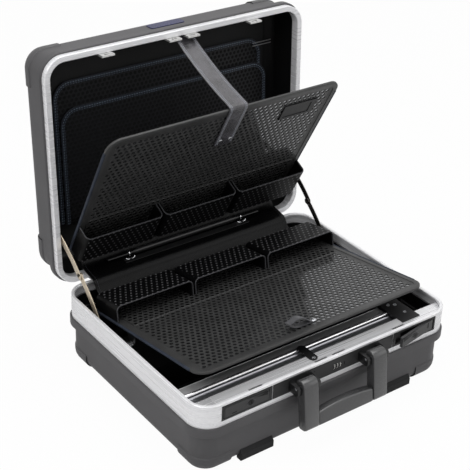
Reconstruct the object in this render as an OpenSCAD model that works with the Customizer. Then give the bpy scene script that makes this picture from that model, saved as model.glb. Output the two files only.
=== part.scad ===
// Hard tool case: two moulded shells with aluminium frames, shown open with its two tool boards.
// X runs along the front, -Y is the handle side, +Z is up, and the origin is the centre of the underside.

/* [Case] */
// Width over the aluminium frames
case_w = 480; // [440:1:520]
// Depth over the aluminium frames
case_d = 376; // [350:1:400]
// Height of the base from its underside to the top of its rim
base_h = 122; // [116:1:134]
// Height of the closed lid over the base rim
lid_h = 82; // [80:1:100]
// Plan radius of the frame corners
corner_r = 35; // [32:1:44]
// Angle that the lid is opened to, from closed
lid_open = 93; // [88:0.5:98]
// Running gap between the two rims when the case is shut
rim_gap = 0.4; // [0.3:0.1:1]

/* [Shells] */
// Wall thickness of both shells
wall = 3; // [2.4:0.1:3.4]
// Step from the frame face in to the shell wall
inset = 5; // [4:0.5:7]
// How far the shell lip stands out past the frame
lip_out = 3; // [1:0.5:4]
// Height of the shell lip
lip_h = 15; // [10:1:18]
// Rounding radius where the walls meet the big faces
edge_r = 18; // [12:1:20]
// Height of the corner pads and the centre panel
pad_h = 3; // [2:0.5:4]
// How far the corner pads stand out at the sides
pad_out = 1.5; // [1:0.5:2]
// Length of the corner pads past the corner rounding
pad_run = 25; // [10:1:60]
// Width of the raised panel in the middle of the big faces
panel_w = 300; // [200:5:330]
// Depth of the raised panel in the middle of the big faces
panel_d = 200; // [150:5:230]
// Thickness of the floor mat and of the lid lining
mat_t = 1.5; // [1:0.5:2]

/* [Frames] */
// Thickness of the aluminium band
band_t = 2.4; // [1.6:0.2:3]
// Height of the base band
band_h = 38; // [36:1:42]
// Width of the rolled rim on top of the base band
rim_w = 5.5; // [4.5:0.5:7]
// Height of the rolled rim
rim_t = 5; // [3:0.5:6]
// Height of the shell neck inside the band
neck_h = 20; // [10:1:24]
// Width of the lid frame face
lid_rim_w = 9.6; // [8.5:0.1:12]
// Thickness of the lid frame face
lid_rim_t = 3; // [2:0.5:4]
// Depth of the outer skirt of the lid frame
lid_skirt = 9; // [6:1:12]
// Depth of the inner skirt of the lid frame
lid_inner_skirt = 14; // [12:1:18]

/* [Lock rail] */
// Depth of the aluminium rail that covers the locks inside
rail_d = 30; // [27:1:31]
// Thickness of the rail
rail_t = 2.5; // [2:0.5:2.5]
// Height of the rail
rail_h = 30; // [28:1:36]

/* [Latches] */
// Distance of the outer end of each latch from the case's side
latch_side = 36; // [32:1:40]
// Length of a latch
latch_len = 88; // [84:1:92]
// Height of the latch and lock plates
plate_h = 25; // [22:1:26]
// Distance from the rim top down to the plates
plate_drop = 4; // [3:0.5:6]
// Depth of the latch housing behind the band face
housing_d = 22; // [20:1:24]
// Height of the latch lever
lever_h = 17; // [14:0.5:19]
// Thickness of the latch lever
lever_t = 5; // [4:0.5:6]
// Clearance round the latch lever
lever_gap = 0.8; // [0.5:0.1:1.2]
// Angle that the right latch stands open at
latch_open = 10; // [5:1:30]
// Radius of the latch pins
latch_pin_r = 1.5; // [1:0.1:2]
// Radius of the key cylinders
key_r = 4.5; // [3.5:0.5:5.5]
// Distance of the outer catches from the inner end of their latch
catch_at = 21; // [16:1:26]
// Distance of the inner catches from the middle
catch_inner_x = 17; // [16:1:22]
// Width of a catch
catch_w = 22; // [16:1:22]
// Thickness of a catch
catch_t = 3; // [2:0.5:3]
// How far a catch reaches below the lid rim
catch_reach = 10; // [6:1:12]
// Clearance round a catch
catch_gap = 1.2; // [0.8:0.1:2]

/* [Combination lock] */
// Gap between the lock plate and the latches
lock_gap = 1; // [0.5:0.5:10]
// How far the plates stand proud of the band
plate_proud = 0.6; // [0.2:0.1:1]
// Radius of a number wheel
wheel_r = 7; // [6:0.5:7]
// Width of a number wheel
wheel_w = 3.6; // [3:0.1:4]
// Distance between number wheels
wheel_pitch = 5.6; // [5.4:0.1:7]
// Distance of the middle wheel to the right of the middle of the case
lock_x = 5; // [0:0.5:6]
// Distance of the wheels below the middle of the plate
lock_drop = 1.5; // [0:0.5:3]
// How far the wheels stand proud of the lock plate
wheel_proud = 0.8; // [0.4:0.1:1.5]
// Clearance round a number wheel
wheel_gap = 0.4; // [0.3:0.1:0.6]
// Radius of the wheel axle
axle_r = 1.2; // [1:0.1:1.5]
// Radial running clearance of pins and axles
run_gap = 0.06; // [0.03:0.01:0.1]

/* [Handle] */
// Distance of the middle of each handle arm from the middle of the case
arm_x = 66; // [62:1:72]
// Width of a handle arm
arm_w = 26; // [22:1:32]
// Thickness of the handle arms
arm_t = 18; // [14:1:20]
// Radius of the barrel at the top of an arm
barrel_r = 11; // [9:0.5:12]
// Distance of the handle pins in front of the band
handle_out = 17; // [16:0.5:19]
// Height of the handle pins below the rim
handle_drop = 13; // [12:0.5:16]
// Length of an arm from pin to tip
arm_len = 71; // [60:1:80]
// Angle that the hanging handle leans out at
handle_rest = 8; // [0:1:12]
// Height of the grip
grip_h = 28; // [20:1:30]
// Rise of the arched grip in its middle
grip_arch = 5; // [0:0.5:8]
// Radius of the handle pins
handle_pin_r = 2; // [1.5:0.1:2.3]
// Thickness of the bracket ears
ear_t = 7; // [5:0.5:9]
// How far the ears reach in front of the handle pins
ear_reach = 6; // [4.5:0.5:9]
// How far the ears reach above the handle pins
ear_top = 4; // [3.5:0.5:6]
// Side clearance between an arm and its bracket
ear_gap = 1; // [0.5:0.1:2]
// Thickness of the bracket's back plate
bracket_t = 3; // [2:0.5:3.5]

/* [Hinge] */
// Distance of the hinge pin behind the band
hinge_out = 3.5; // [3.3:0.1:5]
// Distance of the hinge pin below the rim
hinge_drop = 8; // [6:0.5:10]
// Radius of the hinge knuckles
knuckle_r = 3.2; // [2.6:0.1:3.2]
// Radius of the hinge pins
hinge_pin_r = 1.5; // [1:0.1:2]
// Length of one hinge
hinge_len = 90; // [60:1:120]
// Distance of the middle of each hinge from the case's side
hinge_side = 100; // [90:1:150]
// Thickness of the hinge leaves
leaf_t = 1.5; // [1:0.1:1.8]
// Height of the hinge leaves
leaf_h = 18; // [12:1:20]

/* [Lid stays] */
// Height of the stay's lid pivot, along the open lid from the hinge
stay_lid_s = 86; // [80:1:90]
// Distance of the stay's lid pivot in from the lid rim
stay_lid_in = 7; // [5:0.5:8]
// Distance of the stay's base pivot in front of the hinge
stay_base_y = 91.5; // [86:0.5:96]
// Distance of the stay's base pivot below the hinge
stay_base_z = 16.5; // [14:0.5:19]
// Length of the upper stay link
stay_upper = 70; // [68.5:0.5:75]
// Width of the stay links
link_w = 9; // [6:0.5:10]
// Thickness of the stay links
link_t = 1.5; // [1:0.1:1.6]
// Gap between the two stay links
link_gap = 0.6; // [0.4:0.1:0.8]
// Radius of the stay rivets
rivet_r = 3.5; // [2.5:0.5:3.5]

/* [Dividers] */
// Distance of the aluminium divider behind the front band
divider_back = 52; // [46:1:58]
// Thickness of the aluminium divider
divider_t = 3; // [2:0.5:4]
// Width of the bead along its top
divider_bead = 5; // [4:0.5:7]
// Drop of the aluminium divider's top below the rim
divider_drop = 6.2; // [6.2:0.1:8]
// Right end of the aluminium divider
divider_end = 150; // [120:1:160]
// Width of the black block at the divider's end
block_w = 36; // [24:1:40]
// Height of the thin dividers
thin_h = 80; // [50:1:82]
// Thickness of the thin dividers
thin_t = 2; // [1.5:0.5:3]
// Distance of the middle divider in front of the centre
middle_y = 84; // [70:1:90]
// Distance of the rear divider in front of the centre
rear_y = 26; // [10:1:40]
// Place of the cross divider between them
cross_x = 100; // [40:1:140]
// Length of the clip over the aluminium divider
clip_len = 40; // [34:1:40]
// Width of the clip
clip_w = 14; // [10:1:18]
// Place of the clip along the front
clip_x = -24; // [-60:1:0]

/* [Tool boards] */
// Gap between the tool boards and the case's sides
board_side = 25; // [22:1:30]
// How much shorter the tool boards are than the case is deep
board_short = 91; // [86:1:110]
// Thickness of the tool boards
board_t = 3.5; // [3:0.1:4]
// Radius of the boards' free corners
board_r = 22; // [12:1:30]
// Width of the raised border of the boards
border_w = 9; // [6:0.5:12]
// Height of the raised border
border_h = 1; // [0.5:0.1:1.5]
// Tilt of the lower board, front edge up
lower_tilt = 9.4; // [7:0.1:11]
// Distance of the lower board's free edge behind the front band
lower_front = 38; // [34:1:44]
// Height of the lower board's free edge above the rim
lower_rise = 28; // [22:1:30]
// Lean of the upper board from upright
upper_tilt = 27.5; // [24:0.5:31]
// Distance of the upper board's free edge in front of the hinge
upper_front = 107.5; // [100:0.5:112]
// Height of the upper board's free edge above the rim
upper_rise = 290; // [286:1:296]
// Distance of the carrier studs below the board
stud_drop = 20.2; // [18:0.1:21]
// Distance of the carrier studs from the lower board's free edge
stud_at = 184; // [175:1:190]
// Radius of the carrier studs
stud_r = 3; // [2:0.5:4]
// Width of a carrier arm
carrier_w = 26; // [20:1:40]
// Thickness of a carrier arm
carrier_t = 2; // [1.5:0.5:3]

/* [Tool holders] */
// Depth of a tool holder along the board
holder_d = 60; // [44:1:66]
// Height of a tool holder
holder_h = 27; // [20:1:28]
// Wall of a tool holder
holder_wall = 2.5; // [2:0.5:3]
// Rounding of the holder's top corners
holder_r = 8; // [4:0.5:10]
// Distance of the lower holders from the board's spine edge
lower_holder_back = 5; // [2:0.5:12]
// Distance of the upper holders from the board's spine edge
upper_holder_back = 21; // [10:1:24]
// Gap between neighbouring holders
holder_gap = 4; // [2:0.5:8]
// Number of ribs inside a holder
rib_count = 10; // [4:1:14]
// Width and depth of a rib
rib_t = 2.5; // [1.5:0.5:4]

/* [Soft pieces] */
// Gap between the spine's ends and the case's sides
spine_side = 48; // [36:1:60]
// Thickness of the spine leather
spine_t = 3; // [2:0.5:4]
// Gap left round soft pieces
soft_gap = 0.3; // [0.3:0.1:0.6]
// Width of the lid strap
strap_w = 34; // [24:1:40]
// Thickness of the lid strap
strap_t = 2; // [1.5:0.1:2.4]
// Place of the strap along the case
strap_x = 11; // [0:1:14]
// Drop of the lid strap below a straight line
strap_sag = 6; // [4:1:20]
// Length of the strap down the face of the upper board
strap_tail = 84; // [60:1:120]
// Place of the pull loop's fixed end to the right of the middle
loop_x = 2.7; // [-10:0.1:20]
// Distance of the pull loop from the front edge of the lower board
loop_l = 26; // [20:1:60]
// Length of the pull loop
loop_len = 43; // [30:1:60]
// Width of the pull loop
loop_w = 12; // [8:1:20]
// Rise of the pull loop
loop_rise = 13; // [6:1:20]
// Thickness of the pull loop
loop_t = 1.6; // [1:0.1:1.8]
// Radius of the pull loop's stud
stud_head_r = 5; // [4:0.5:7]
// How far the carry strap reaches past its rings
strap_past = 40; // [20:1:60]
// Half the distance between the carry rings
ring_x = 112; // [90:1:130]
// Radius of the carry strap
cord_r = 5; // [4:0.5:6]
// How much narrower the pockets are than the case
pocket_narrow = 82; // [80:1:120]
// Shift of the upper pocket to the right
upper_pocket_x = 7; // [0:1:10]
// Shift of the lower pocket to the right
lower_pocket_x = 15; // [0:1:16]
// Height of the upper pocket's edge along the lid
pocket_top = 311; // [300:1:320]
// Drop of the lower pocket's edge below the upper one's
pocket_step = 43; // [30:1:60]
// Room inside a pocket
pocket_room = 3.6; // [3:0.1:3.9]
// Thickness of the pocket panels
pocket_t = 1.6; // [1:0.1:1.8]
// Radius of the pocket corners
pocket_r = 30; // [20:1:40]

/* [Small parts] */
// Width of a front bumper
bumper_w = 58; // [40:1:70]
// Distance of the middle of each bumper from the case's side
bumper_side = 104; // [95:1:115]
// How far a bumper stands past the shell wall
bumper_out = 5; // [3:0.5:6]
// Shift of the name plate to the right
nameplate_x = 4; // [0:1:20]
// Width of the blank name plate on the lid
nameplate_w = 62; // [40:1:80]
// Height of the blank name plate
nameplate_h = 20; // [10:1:24]
// Thickness of the blank name plate
nameplate_t = 1; // [0.5:0.1:1.5]
// Distance of the label holder to the right of the middle
label_x = 147; // [100:1:160]
// Distance of the label holder from the free edge
label_l = 48; // [30:1:80]
// Width of the blank label holder
label_w = 66; // [50:1:80]
// Height of the blank label holder
label_h = 33; // [24:1:40]
// Thickness of the label holder
label_t = 1.5; // [1:0.1:2]

/* [Hidden] */

$fn = 48;
eps = 0.01;
big = 1000;

black = [0.09, 0.09, 0.10];
shell_grey = [0.30, 0.30, 0.31];
alloy = [0.80, 0.81, 0.82];
nickel = [0.75, 0.70, 0.62];
board_grey = [0.20, 0.20, 0.21];
leather = [0.13, 0.13, 0.14];

half_w = case_w / 2;
half_d = case_d / 2;
board_w = case_w - 2 * board_side;
board_l = case_d - board_short;
spine_w = case_w - 2 * spine_side;
pocket_w = case_w - pocket_narrow;
hinge_x = half_w - hinge_side;
bumper_x = half_w - bumper_side;
latch_out = half_w - latch_side;
latch_in = latch_out - latch_len;
lock_half = latch_in - lock_gap;
catch_outer_x = latch_in + catch_at;
band_z = base_h - band_h;
lip_z = band_z - lip_h;
floor_z = pad_h + wall;
mat_top = floor_z + mat_t;
wall_in = inset + wall;
inner_w = case_w - 2 * wall_in;
inner_d = case_d - 2 * wall_in;

hinge_y = half_d + hinge_out;
hinge_z = base_h - hinge_drop;
lid_z = base_h + rim_gap;

plate_top = base_h - plate_drop;
plate_bottom = plate_top - plate_h;
plate_mid = (plate_top + plate_bottom) / 2;

rail_top = base_h - 6;
divider_y = -half_d + divider_back;
divider_top = base_h - divider_drop;
block_lid = 1.3;
block_points = [
    [divider_end + 13, divider_y + 12], [divider_end + 23, divider_y + 7],
    [divider_end + 22, -half_d + rail_d + 6]
];
clip_screw_y = -half_d + 20;

catch_y = -half_d + lid_rim_w + catch_t / 2;
catch_slot = [catch_w + 2 * catch_gap, catch_t + 2 * catch_gap, 30];
latch_x = latch_out - 6;
latch_y = -half_d + 2;
key_x = latch_in + 38;

wheel_y = -half_d - plate_proud - wheel_proud + wheel_r;
wheel_z = plate_mid - lock_drop;
axle_half = wheel_pitch + wheel_w / 2 + wheel_gap + 4;

pin_y = -half_d - handle_out;
pin_z = base_h - handle_drop;

lining_z = lid_z + lid_h - floor_z - mat_t;
upper_pocket_z = lining_z - pocket_room - pocket_t;
lower_pocket_z = upper_pocket_z - pocket_room - pocket_t;
upper_pocket_y = hinge_y - pocket_top;
pocket_low_y = half_d - 68;

// Place in the side view of a point of the shut lid once the lid stands open
function open_pt(y, z) = let(dy = y - hinge_y, dz = z - hinge_z) [
    hinge_y + dy * cos(lid_open) + dz * sin(lid_open), hinge_z - dy * sin(lid_open) + dz * cos(lid_open)
];
// Place in the side view of a point on a tool board
function lower_pt(l, h) = [
    -half_d + lower_front + l * cos(lower_tilt) + h * sin(lower_tilt),
    base_h + lower_rise - l * sin(lower_tilt) + h * cos(lower_tilt)
];
function upper_pt(l, h) = [
    hinge_y - upper_front + l * sin(upper_tilt) - h * cos(upper_tilt),
    base_h + upper_rise - l * cos(upper_tilt) - h * sin(upper_tilt)
];

stay_lid = open_pt(hinge_y - stay_lid_s, lid_z + stay_lid_in);
stay_base = [hinge_y - stay_base_y, hinge_z - stay_base_z];
stay_span = norm(stay_lid - stay_base);
stay_lower_len = stay_span - stay_upper + 0.6;
stay_along = (pow(stay_lower_len, 2) - pow(stay_upper, 2) + pow(stay_span, 2)) / (2 * stay_span);
stay_side = sqrt(pow(stay_lower_len, 2) - pow(stay_along, 2));
stay_dir = (stay_lid - stay_base) / stay_span;
stay_knee = stay_base + stay_along * stay_dir + stay_side * [-stay_dir[1], stay_dir[0]];
link_upper_x = half_w - 12.8;
link_lower_x = link_upper_x - link_gap - link_t;

panel_l = board_l - border_w - upper_holder_back - holder_d - 3;
carrier_x = half_w - 28;
stud_point = lower_pt(stud_at, -stud_drop);

crest = [hinge_y - 14.5, base_h + 5.5];
strap_at = [hinge_y + 8.5, base_h + 17.4];
spine_top = upper_pt(board_l + 1.7, 0);
spine_path = concat(
    [spine_top, spine_top + [-1.2, -6]],
    arc(strap_at[0] - 3, strap_at[1] + 10, 10.45 + cord_r + 1.1 + soft_gap + spine_t / 2, 0, -90, 8),
    [crest + [7, 1], crest, crest + [-5, -4], crest + [-8, -10], crest + [-14.5, -17], crest + [-25, -22]],
    [lower_pt(board_l + 0.7, 0)]
);

strap_gap = board_t / 2 + soft_gap + strap_t / 2;
strap_wall = -half_d + wall_in + soft_gap + strap_t / 2;
strap_start = open_pt(strap_wall, lid_z + 21);
strap_end = upper_pt(-strap_gap - 0.6, -1.2);
lid_strap_path = concat(
    [open_pt(strap_wall, lid_z + 46), open_pt(strap_wall, lid_z + 26)],
    [for (i = [0:12]) let(u = i / 12)
        strap_start + u * (strap_end - strap_start) - [0, strap_sag * 4 * u * (1 - u)]],
    [upper_pt(-strap_gap, 1.2), upper_pt(-2, strap_gap - 0.4)],
    [upper_pt(0, strap_gap), upper_pt(strap_tail, strap_gap)]
);

function arc(cx, cy, r, a0, a1, n = 6) =
    [for (i = [0:n]) [cx + r * cos(a0 + (a1 - a0) * i / n), cy + r * sin(a0 + (a1 - a0) * i / n)]];

// Outline helpers

module rounded_rect(w, d, r) {
    square([w - 2 * r, d], center = true);
    square([w, d - 2 * r], center = true);
    for (x = [-1, 1], y = [-1, 1]) {
        translate([x * (w / 2 - r), y * (d / 2 - r)]) circle(r);
    }
}

module round_end_rect(w, d, r) {
    translate([-w / 2, 0]) square([w, d - r]);
    translate([-(w / 2 - r), 0]) square([w - 2 * r, d]);
    for (x = [-1, 1]) {
        translate([x * (w / 2 - r), d - r]) circle(r);
    }
}

// Sweeps a profile round the frame outline; the profile's x is 0 on the outline and negative inside it
module corner_sweep(w, d, r) {
    for (c = [[1, 1, 0], [-1, 1, 90], [-1, -1, 180], [1, -1, 270]]) {
        translate([c[0] * (w / 2 - r), c[1] * (d / 2 - r), 0])
            rotate(c[2]) rotate_extrude(angle = 90) translate([r, 0]) children();
    }
}

module side_sweep(w, d, r) {
    for (a = [0, 180]) {
        rotate(a) translate([w / 2, d / 2 - r, 0])
            rotate([90, 0, 0]) linear_extrude(d - 2 * r) children();
        rotate(a + 90) translate([d / 2, w / 2 - r, 0])
            rotate([90, 0, 0]) linear_extrude(w - 2 * r) children();
    }
}

module frame_sweep() {
    corner_sweep(case_w, case_d, corner_r) children();
    side_sweep(case_w, case_d, corner_r) children();
}

// Shells: the same section serves base and lid, with z measured from the big face

module shell_section(lip_bottom, lip_top, neck_top, neck_out, neck_in) {
    reach = inset + edge_r + 5;
    polygon(concat(
        [[-reach, pad_h]],
        arc(-inset - edge_r, pad_h + edge_r, edge_r, -90, 0),
        [[-inset, lip_bottom - lip_out], [lip_out - 1, lip_bottom], [lip_out, lip_bottom + 1]],
        [[lip_out, lip_top - 2], [lip_out - 1, lip_top]],
        [[-neck_out, lip_top], [-neck_out, neck_top], [-neck_in, neck_top], [-neck_in, lip_top - 2]],
        [[-wall_in, lip_top - 4]],
        arc(-inset - edge_r, pad_h + edge_r, edge_r - wall, 0, -90),
        [[-reach, floor_z]]
    ));
}

module pad_section() {
    outer = edge_r + pad_out;
    polygon(concat(
        [[-inset - edge_r - 4, 0]],
        arc(-inset - edge_r, outer, outer, -90, 0),
        [[-inset + pad_out, outer + 6], [-inset - wall / 2, outer + 9]],
        arc(-inset - edge_r, pad_h + edge_r, edge_r - wall / 2, 0, -90),
        [[-inset - edge_r - 4, pad_h + wall / 2]]
    ));
}

module corner_pads() {
    run = case_w;
    corner_sweep(case_w, case_d, corner_r) pad_section();
    intersection() {
        side_sweep(case_w, case_d, corner_r) pad_section();
        for (x = [-1, 1], y = [-1, 1]) {
            translate([x * half_w, y * half_d, 0])
                cube([2 * (corner_r + pad_run), 2 * (corner_r + pad_run), 3 * edge_r], center = true);
        }
    }
}

module shell(lip_bottom, lip_top, neck_top, neck_out, neck_in) {
    core_w = case_w - 2 * (inset + edge_r + 3);
    core_d = case_d - 2 * (inset + edge_r + 3);
    frame_sweep() shell_section(lip_bottom, lip_top, neck_top, neck_out, neck_in);
    translate([0, 0, pad_h]) linear_extrude(wall) rounded_rect(core_w, core_d, corner_r - inset - edge_r - 1);
    linear_extrude(pad_h + wall / 2) rounded_rect(panel_w, panel_d, 30);
    corner_pads();
}

module front_openings(depth) {
    for (s = [-1, 1]) {
        translate([s * (latch_in + latch_out) / 2, -half_d, plate_mid])
            cube([latch_out - latch_in, 2 * depth, plate_h], center = true);
    }
    translate([0, -half_d, plate_mid]) cube([2 * lock_half, 2 * depth, plate_h], center = true);
}

module base_shell() {
    color(shell_grey) difference() {
        shell(lip_z, band_z, band_z + neck_h, band_t, band_t + wall);
        front_openings(housing_d);
    }
}

module base_frame_section() {
    polygon([
        [-band_t, band_z], [0, band_z], [0, base_h - 1], [-1, base_h], [-rim_w + 1, base_h],
        [-rim_w, base_h - 1], [-rim_w, base_h - rim_t + 1], [-rim_w + 1, base_h - rim_t],
        [-band_t, base_h - rim_t]
    ]);
}

module base_frame() {
    color(alloy) difference() {
        frame_sweep() base_frame_section();
        front_openings(band_t + eps);
    }
}

// The rail closes off the locks from the inside and carries the slots for the lid catches
module lock_rail() {
    length = case_w - 2 * corner_r;
    back = -half_d + rail_d;
    color(alloy) difference() {
        union() {
            translate([-length / 2, -half_d + rim_w, rail_top - rail_t])
                cube([length, rail_d - rim_w, rail_t]);
            translate([-length / 2, back - 2, rail_top - rail_h]) cube([length, 2, rail_h]);
        }
        for (x = [-catch_outer_x, -catch_inner_x, catch_inner_x, catch_outer_x]) {
            translate([x, catch_y, base_h]) cube(catch_slot, center = true);
        }
    }
}

// Dividers, each standing on the floor mat

module divider(x0, x1, top, t) {
    left_cut = x0 < -inner_w / 2 + 5 ? edge_r : 0.5;
    right_cut = x1 > inner_w / 2 - 5 ? edge_r : 0.5;
    foot = mat_top + 0.1;
    rotate([90, 0, 0]) linear_extrude(t, center = true) polygon([
        [x0, top], [x0, foot + left_cut], [x0 + left_cut, foot],
        [x1 - right_cut, foot], [x1, foot + right_cut], [x1, top]
    ]);
}

module front_divider() {
    start = -inner_w / 2 + 0.3;
    color(alloy) translate([0, divider_y, 0]) {
        divider(start, divider_end, divider_top - 1, divider_t);
        translate([start, -divider_bead / 2, divider_top - 3]) cube([divider_end - start, divider_bead, 3]);
    }
}

module divider_block() {
    x0 = divider_end + 0.2;
    y0 = -half_d + rail_d + 0.2;
    color(black) difference() {
        union() {
            translate([x0, y0, rail_top - 26]) cube([block_w, divider_y + 18 - y0, 26 + block_lid]);
            translate([x0, y0 - 14, rail_top + 0.1]) cube([block_w, 14.1, block_lid - 0.1]);
        }
        for (p = block_points) {
            translate([p[0], p[1], rail_top - 12]) cylinder(r = 1.5, h = 20);
        }
    }
}

module screw(shank, head_h) {
    translate([0, 0, -shank]) cylinder(r = 1.5, h = shank);
    difference() {
        cylinder(r = 3, h = head_h);
        translate([-4, -0.4, head_h - 0.4]) cube([8, 0.8, 1]);
    }
}

module block_screws() {
    color(alloy) {
        for (p = block_points) {
            translate([p[0], p[1], rail_top + block_lid]) screw(10, 0.7);
        }
        translate([clip_x, clip_screw_y, rail_top + 1.6]) screw(1.4, 0.7);
    }
}

module divider_clip() {
    front = divider_y + 3 - clip_len;
    color(black) translate([clip_x, 0, rail_top + 0.1]) difference() {
        linear_extrude(1.5) {
            translate([0, divider_y + 3 - clip_len / 2]) square([clip_w, clip_len - clip_w], center = true);
            for (y = [front + clip_w / 2, divider_y + 3 - clip_w / 2]) {
                translate([0, y]) circle(clip_w / 2);
            }
        }
        translate([0, clip_screw_y, -1]) cylinder(r = 1.5, h = 4);
    }
}

module middle_divider() {
    color(black) translate([0, -middle_y, 0])
        divider(-inner_w / 2 + 0.3, inner_w / 2 - 0.3, mat_top + thin_h, thin_t);
}

module rear_divider() {
    color(black) translate([0, -rear_y, 0])
        divider(-inner_w / 2 + 0.3, inner_w / 2 - 0.3, mat_top + thin_h, thin_t);
}

module cross_divider() {
    y0 = divider_y + divider_t / 2 + 0.2;
    y1 = -middle_y - thin_t / 2 - 0.2;
    color(black) translate([cross_x - thin_t / 2, y0, mat_top + 0.1]) cube([thin_t, y1 - y0, thin_h - 6]);
}

module floor_mat() {
    color(black) translate([0, 0, floor_z]) linear_extrude(mat_t)
        rounded_rect(inner_w - 2 * edge_r + 4, inner_d - 2 * edge_r + 4, 12);
}

// Combination lock

module wheel_window(x) {
    translate([x, wheel_y, wheel_z]) rotate([0, 90, 0])
        cylinder(r = wheel_r + wheel_gap, h = wheel_w + 2 * wheel_gap, center = true);
}

module catch_pocket(x) {
    translate([x - catch_slot[0] / 2, catch_y - catch_slot[1] / 2, lid_z - catch_reach - 1])
        cube([catch_slot[0], catch_slot[1], 30]);
}

module lock_plate() {
    body_top = rail_top - rail_t - 0.2;
    body_half = catch_inner_x + catch_w / 2 + 4;
    color(black) difference() {
        union() {
            translate([-lock_half + 0.1, -half_d - plate_proud, plate_bottom + 0.1])
                cube([2 * lock_half - 0.2, plate_proud + rim_w - 0.1, plate_h - 1.2]);
            translate([-body_half, -half_d, plate_bottom + 2])
                cube([2 * body_half, housing_d, body_top - plate_bottom - 2]);
        }
        for (i = [-1:1]) {
            wheel_window(lock_x + i * wheel_pitch);
        }
        translate([lock_x, wheel_y, wheel_z]) rotate([0, 90, 0])
            cylinder(r = axle_r, h = 2 * axle_half, center = true);
        catch_pocket(-catch_inner_x);
        catch_pocket(catch_inner_x);
        translate([lock_x + 13.3, -half_d - 3, wheel_z - 3.5]) cube([1.4, 8, 7]);
        translate([-39, -half_d - 3, plate_top - 7.3]) rotate([-90, 0, 0]) cylinder(r = 1, h = 8);
    }
}

module wheel_axle() {
    color(alloy) translate([lock_x, wheel_y, wheel_z]) rotate([0, 90, 0])
        cylinder(r = axle_r, h = 2 * axle_half, center = true);
}

module number_wheel(i) {
    color(black) translate([lock_x + i * wheel_pitch, wheel_y, wheel_z]) rotate([0, 90, 0]) difference() {
        cylinder(r = wheel_r, h = wheel_w, center = true);
        cylinder(r = axle_r + run_gap, h = wheel_w + 1, center = true);
        for (a = [0:36:359]) {
            rotate(a + 18) translate([wheel_r + 0.5, 0, 0]) cylinder(r = 0.9, h = wheel_w + 1, center = true);
        }
    }
}

module number_wheel_1() {
    number_wheel(-1);
}

module number_wheel_2() {
    number_wheel(0);
}

module number_wheel_3() {
    number_wheel(1);
}

// Handle: two arms on brackets, joined by the grip. The side view is drawn in Y and Z

module side_view(x0, t) {
    translate([x0, 0, 0]) rotate([90, 0, 90]) linear_extrude(t) children();
}

module handle_bracket(s) {
    inner = arm_x - arm_w / 2 - ear_gap - ear_t;
    outer = arm_x + arm_w / 2 + ear_gap;
    back = -half_d - plate_proud - 0.1;
    front = pin_y - ear_reach;
    low = plate_bottom + 4.5;
    top = pin_z + ear_top;
    color(black) {
        for (x = s > 0 ? [inner, outer] : [-outer - ear_t, -inner - ear_t]) {
            side_view(x, ear_t) difference() {
                polygon([
                    [back, low], [back, top], [front + 3, top], [front, top - 3.5],
                    [front, low + 3], [front + 3, low]
                ]);
                translate([pin_y, pin_z]) circle(handle_pin_r);
            }
        }
        side_view(s > 0 ? inner : -outer - ear_t, outer + ear_t - inner)
            polygon([[back, low], [back, low + 5], [back - bracket_t, low + 5], [back - bracket_t, low]]);
    }
}

module handle_bracket_left() {
    handle_bracket(-1);
}

module handle_bracket_right() {
    handle_bracket(1);
}

module handle_pins() {
    reach = arm_w + 2 * ear_gap + 2 * ear_t - 1;
    color(alloy) for (s = [-1, 1]) {
        translate([s * arm_x, pin_y, pin_z]) rotate([0, 90, 0])
            cylinder(r = handle_pin_r, h = reach, center = true);
    }
}

module handle_pose() {
    translate([0, pin_y, pin_z]) rotate([-handle_rest, 0, 0]) children();
}

module handle_arm(s) {
    front = -barrel_r;
    back = front + arm_t;
    color(shell_grey) handle_pose() side_view(s * arm_x - arm_w / 2, arm_w) difference() {
        union() {
            circle(barrel_r);
            polygon([
                [front, 0], [front, 6 - arm_len], [front + 2, 2 - arm_len], [front + 6, -arm_len],
                [back - 3, -arm_len], [back, 3 - arm_len], [back, 0]
            ]);
        }
        circle(handle_pin_r + run_gap);
    }
}

module handle_arm_left() {
    handle_arm(-1);
}

module handle_arm_right() {
    handle_arm(1);
}

module handle_grip() {
    half = arm_x - arm_w / 2 - 0.1;
    front = 1.5 - barrel_r;
    back = front + arm_t - 3;
    color(shell_grey) handle_pose() difference() {
        translate([0, back, -arm_len]) rotate([90, 0, 0]) linear_extrude(arm_t - 3) polygon(concat(
            [[-half, 0], [half, 0]],
            [for (i = [0:12]) let(u = 1 - i / 6) [u * half, grip_h - grip_arch * u * u]]
        ));
        translate([0, front, -arm_len]) rotate([45, 0, 0]) cube([2 * half + 1, 4, 4], center = true);
        translate([0, back, -arm_len]) rotate([45, 0, 0]) cube([2 * half + 1, 4, 4], center = true);
    }
}

// Latches

module latch_recess() {
    half = lever_h / 2 + lever_gap;
    x0 = latch_in + 6 - lever_gap;
    translate([x0, -half_d - 5, plate_mid - half])
        cube([latch_x - x0 + lever_gap + 2.6, lever_t + 6.5, 2 * half]);
}

module latch_housing() {
    wide = latch_out - latch_in - 0.2;
    color(black) difference() {
        union() {
            translate([latch_in + 0.1, -half_d - plate_proud, plate_bottom + 0.1])
                cube([wide, plate_proud + rim_w - 0.1, plate_h - 1.2]);
            translate([latch_in + 0.1, -half_d, plate_bottom + 0.1])
                cube([wide, housing_d, rail_top - rail_t - 0.3 - plate_bottom]);
        }
        latch_recess();
        translate([latch_x, latch_y, plate_bottom + 1]) cylinder(r = latch_pin_r, h = plate_h - 3);
        catch_pocket(catch_outer_x);
        translate([(latch_in + latch_x) / 2 - 2, -half_d + lever_t, plate_mid])
            cube([34, 22, 10], center = true);
    }
}

module latch_housing_left() {
    mirror([1, 0, 0]) latch_housing();
}

module latch_housing_right() {
    latch_housing();
}

module latch_pins() {
    color(alloy) for (s = [-1, 1]) {
        translate([s * latch_x, latch_y, plate_bottom + 1]) cylinder(r = latch_pin_r, h = plate_h - 3);
    }
}

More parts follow.
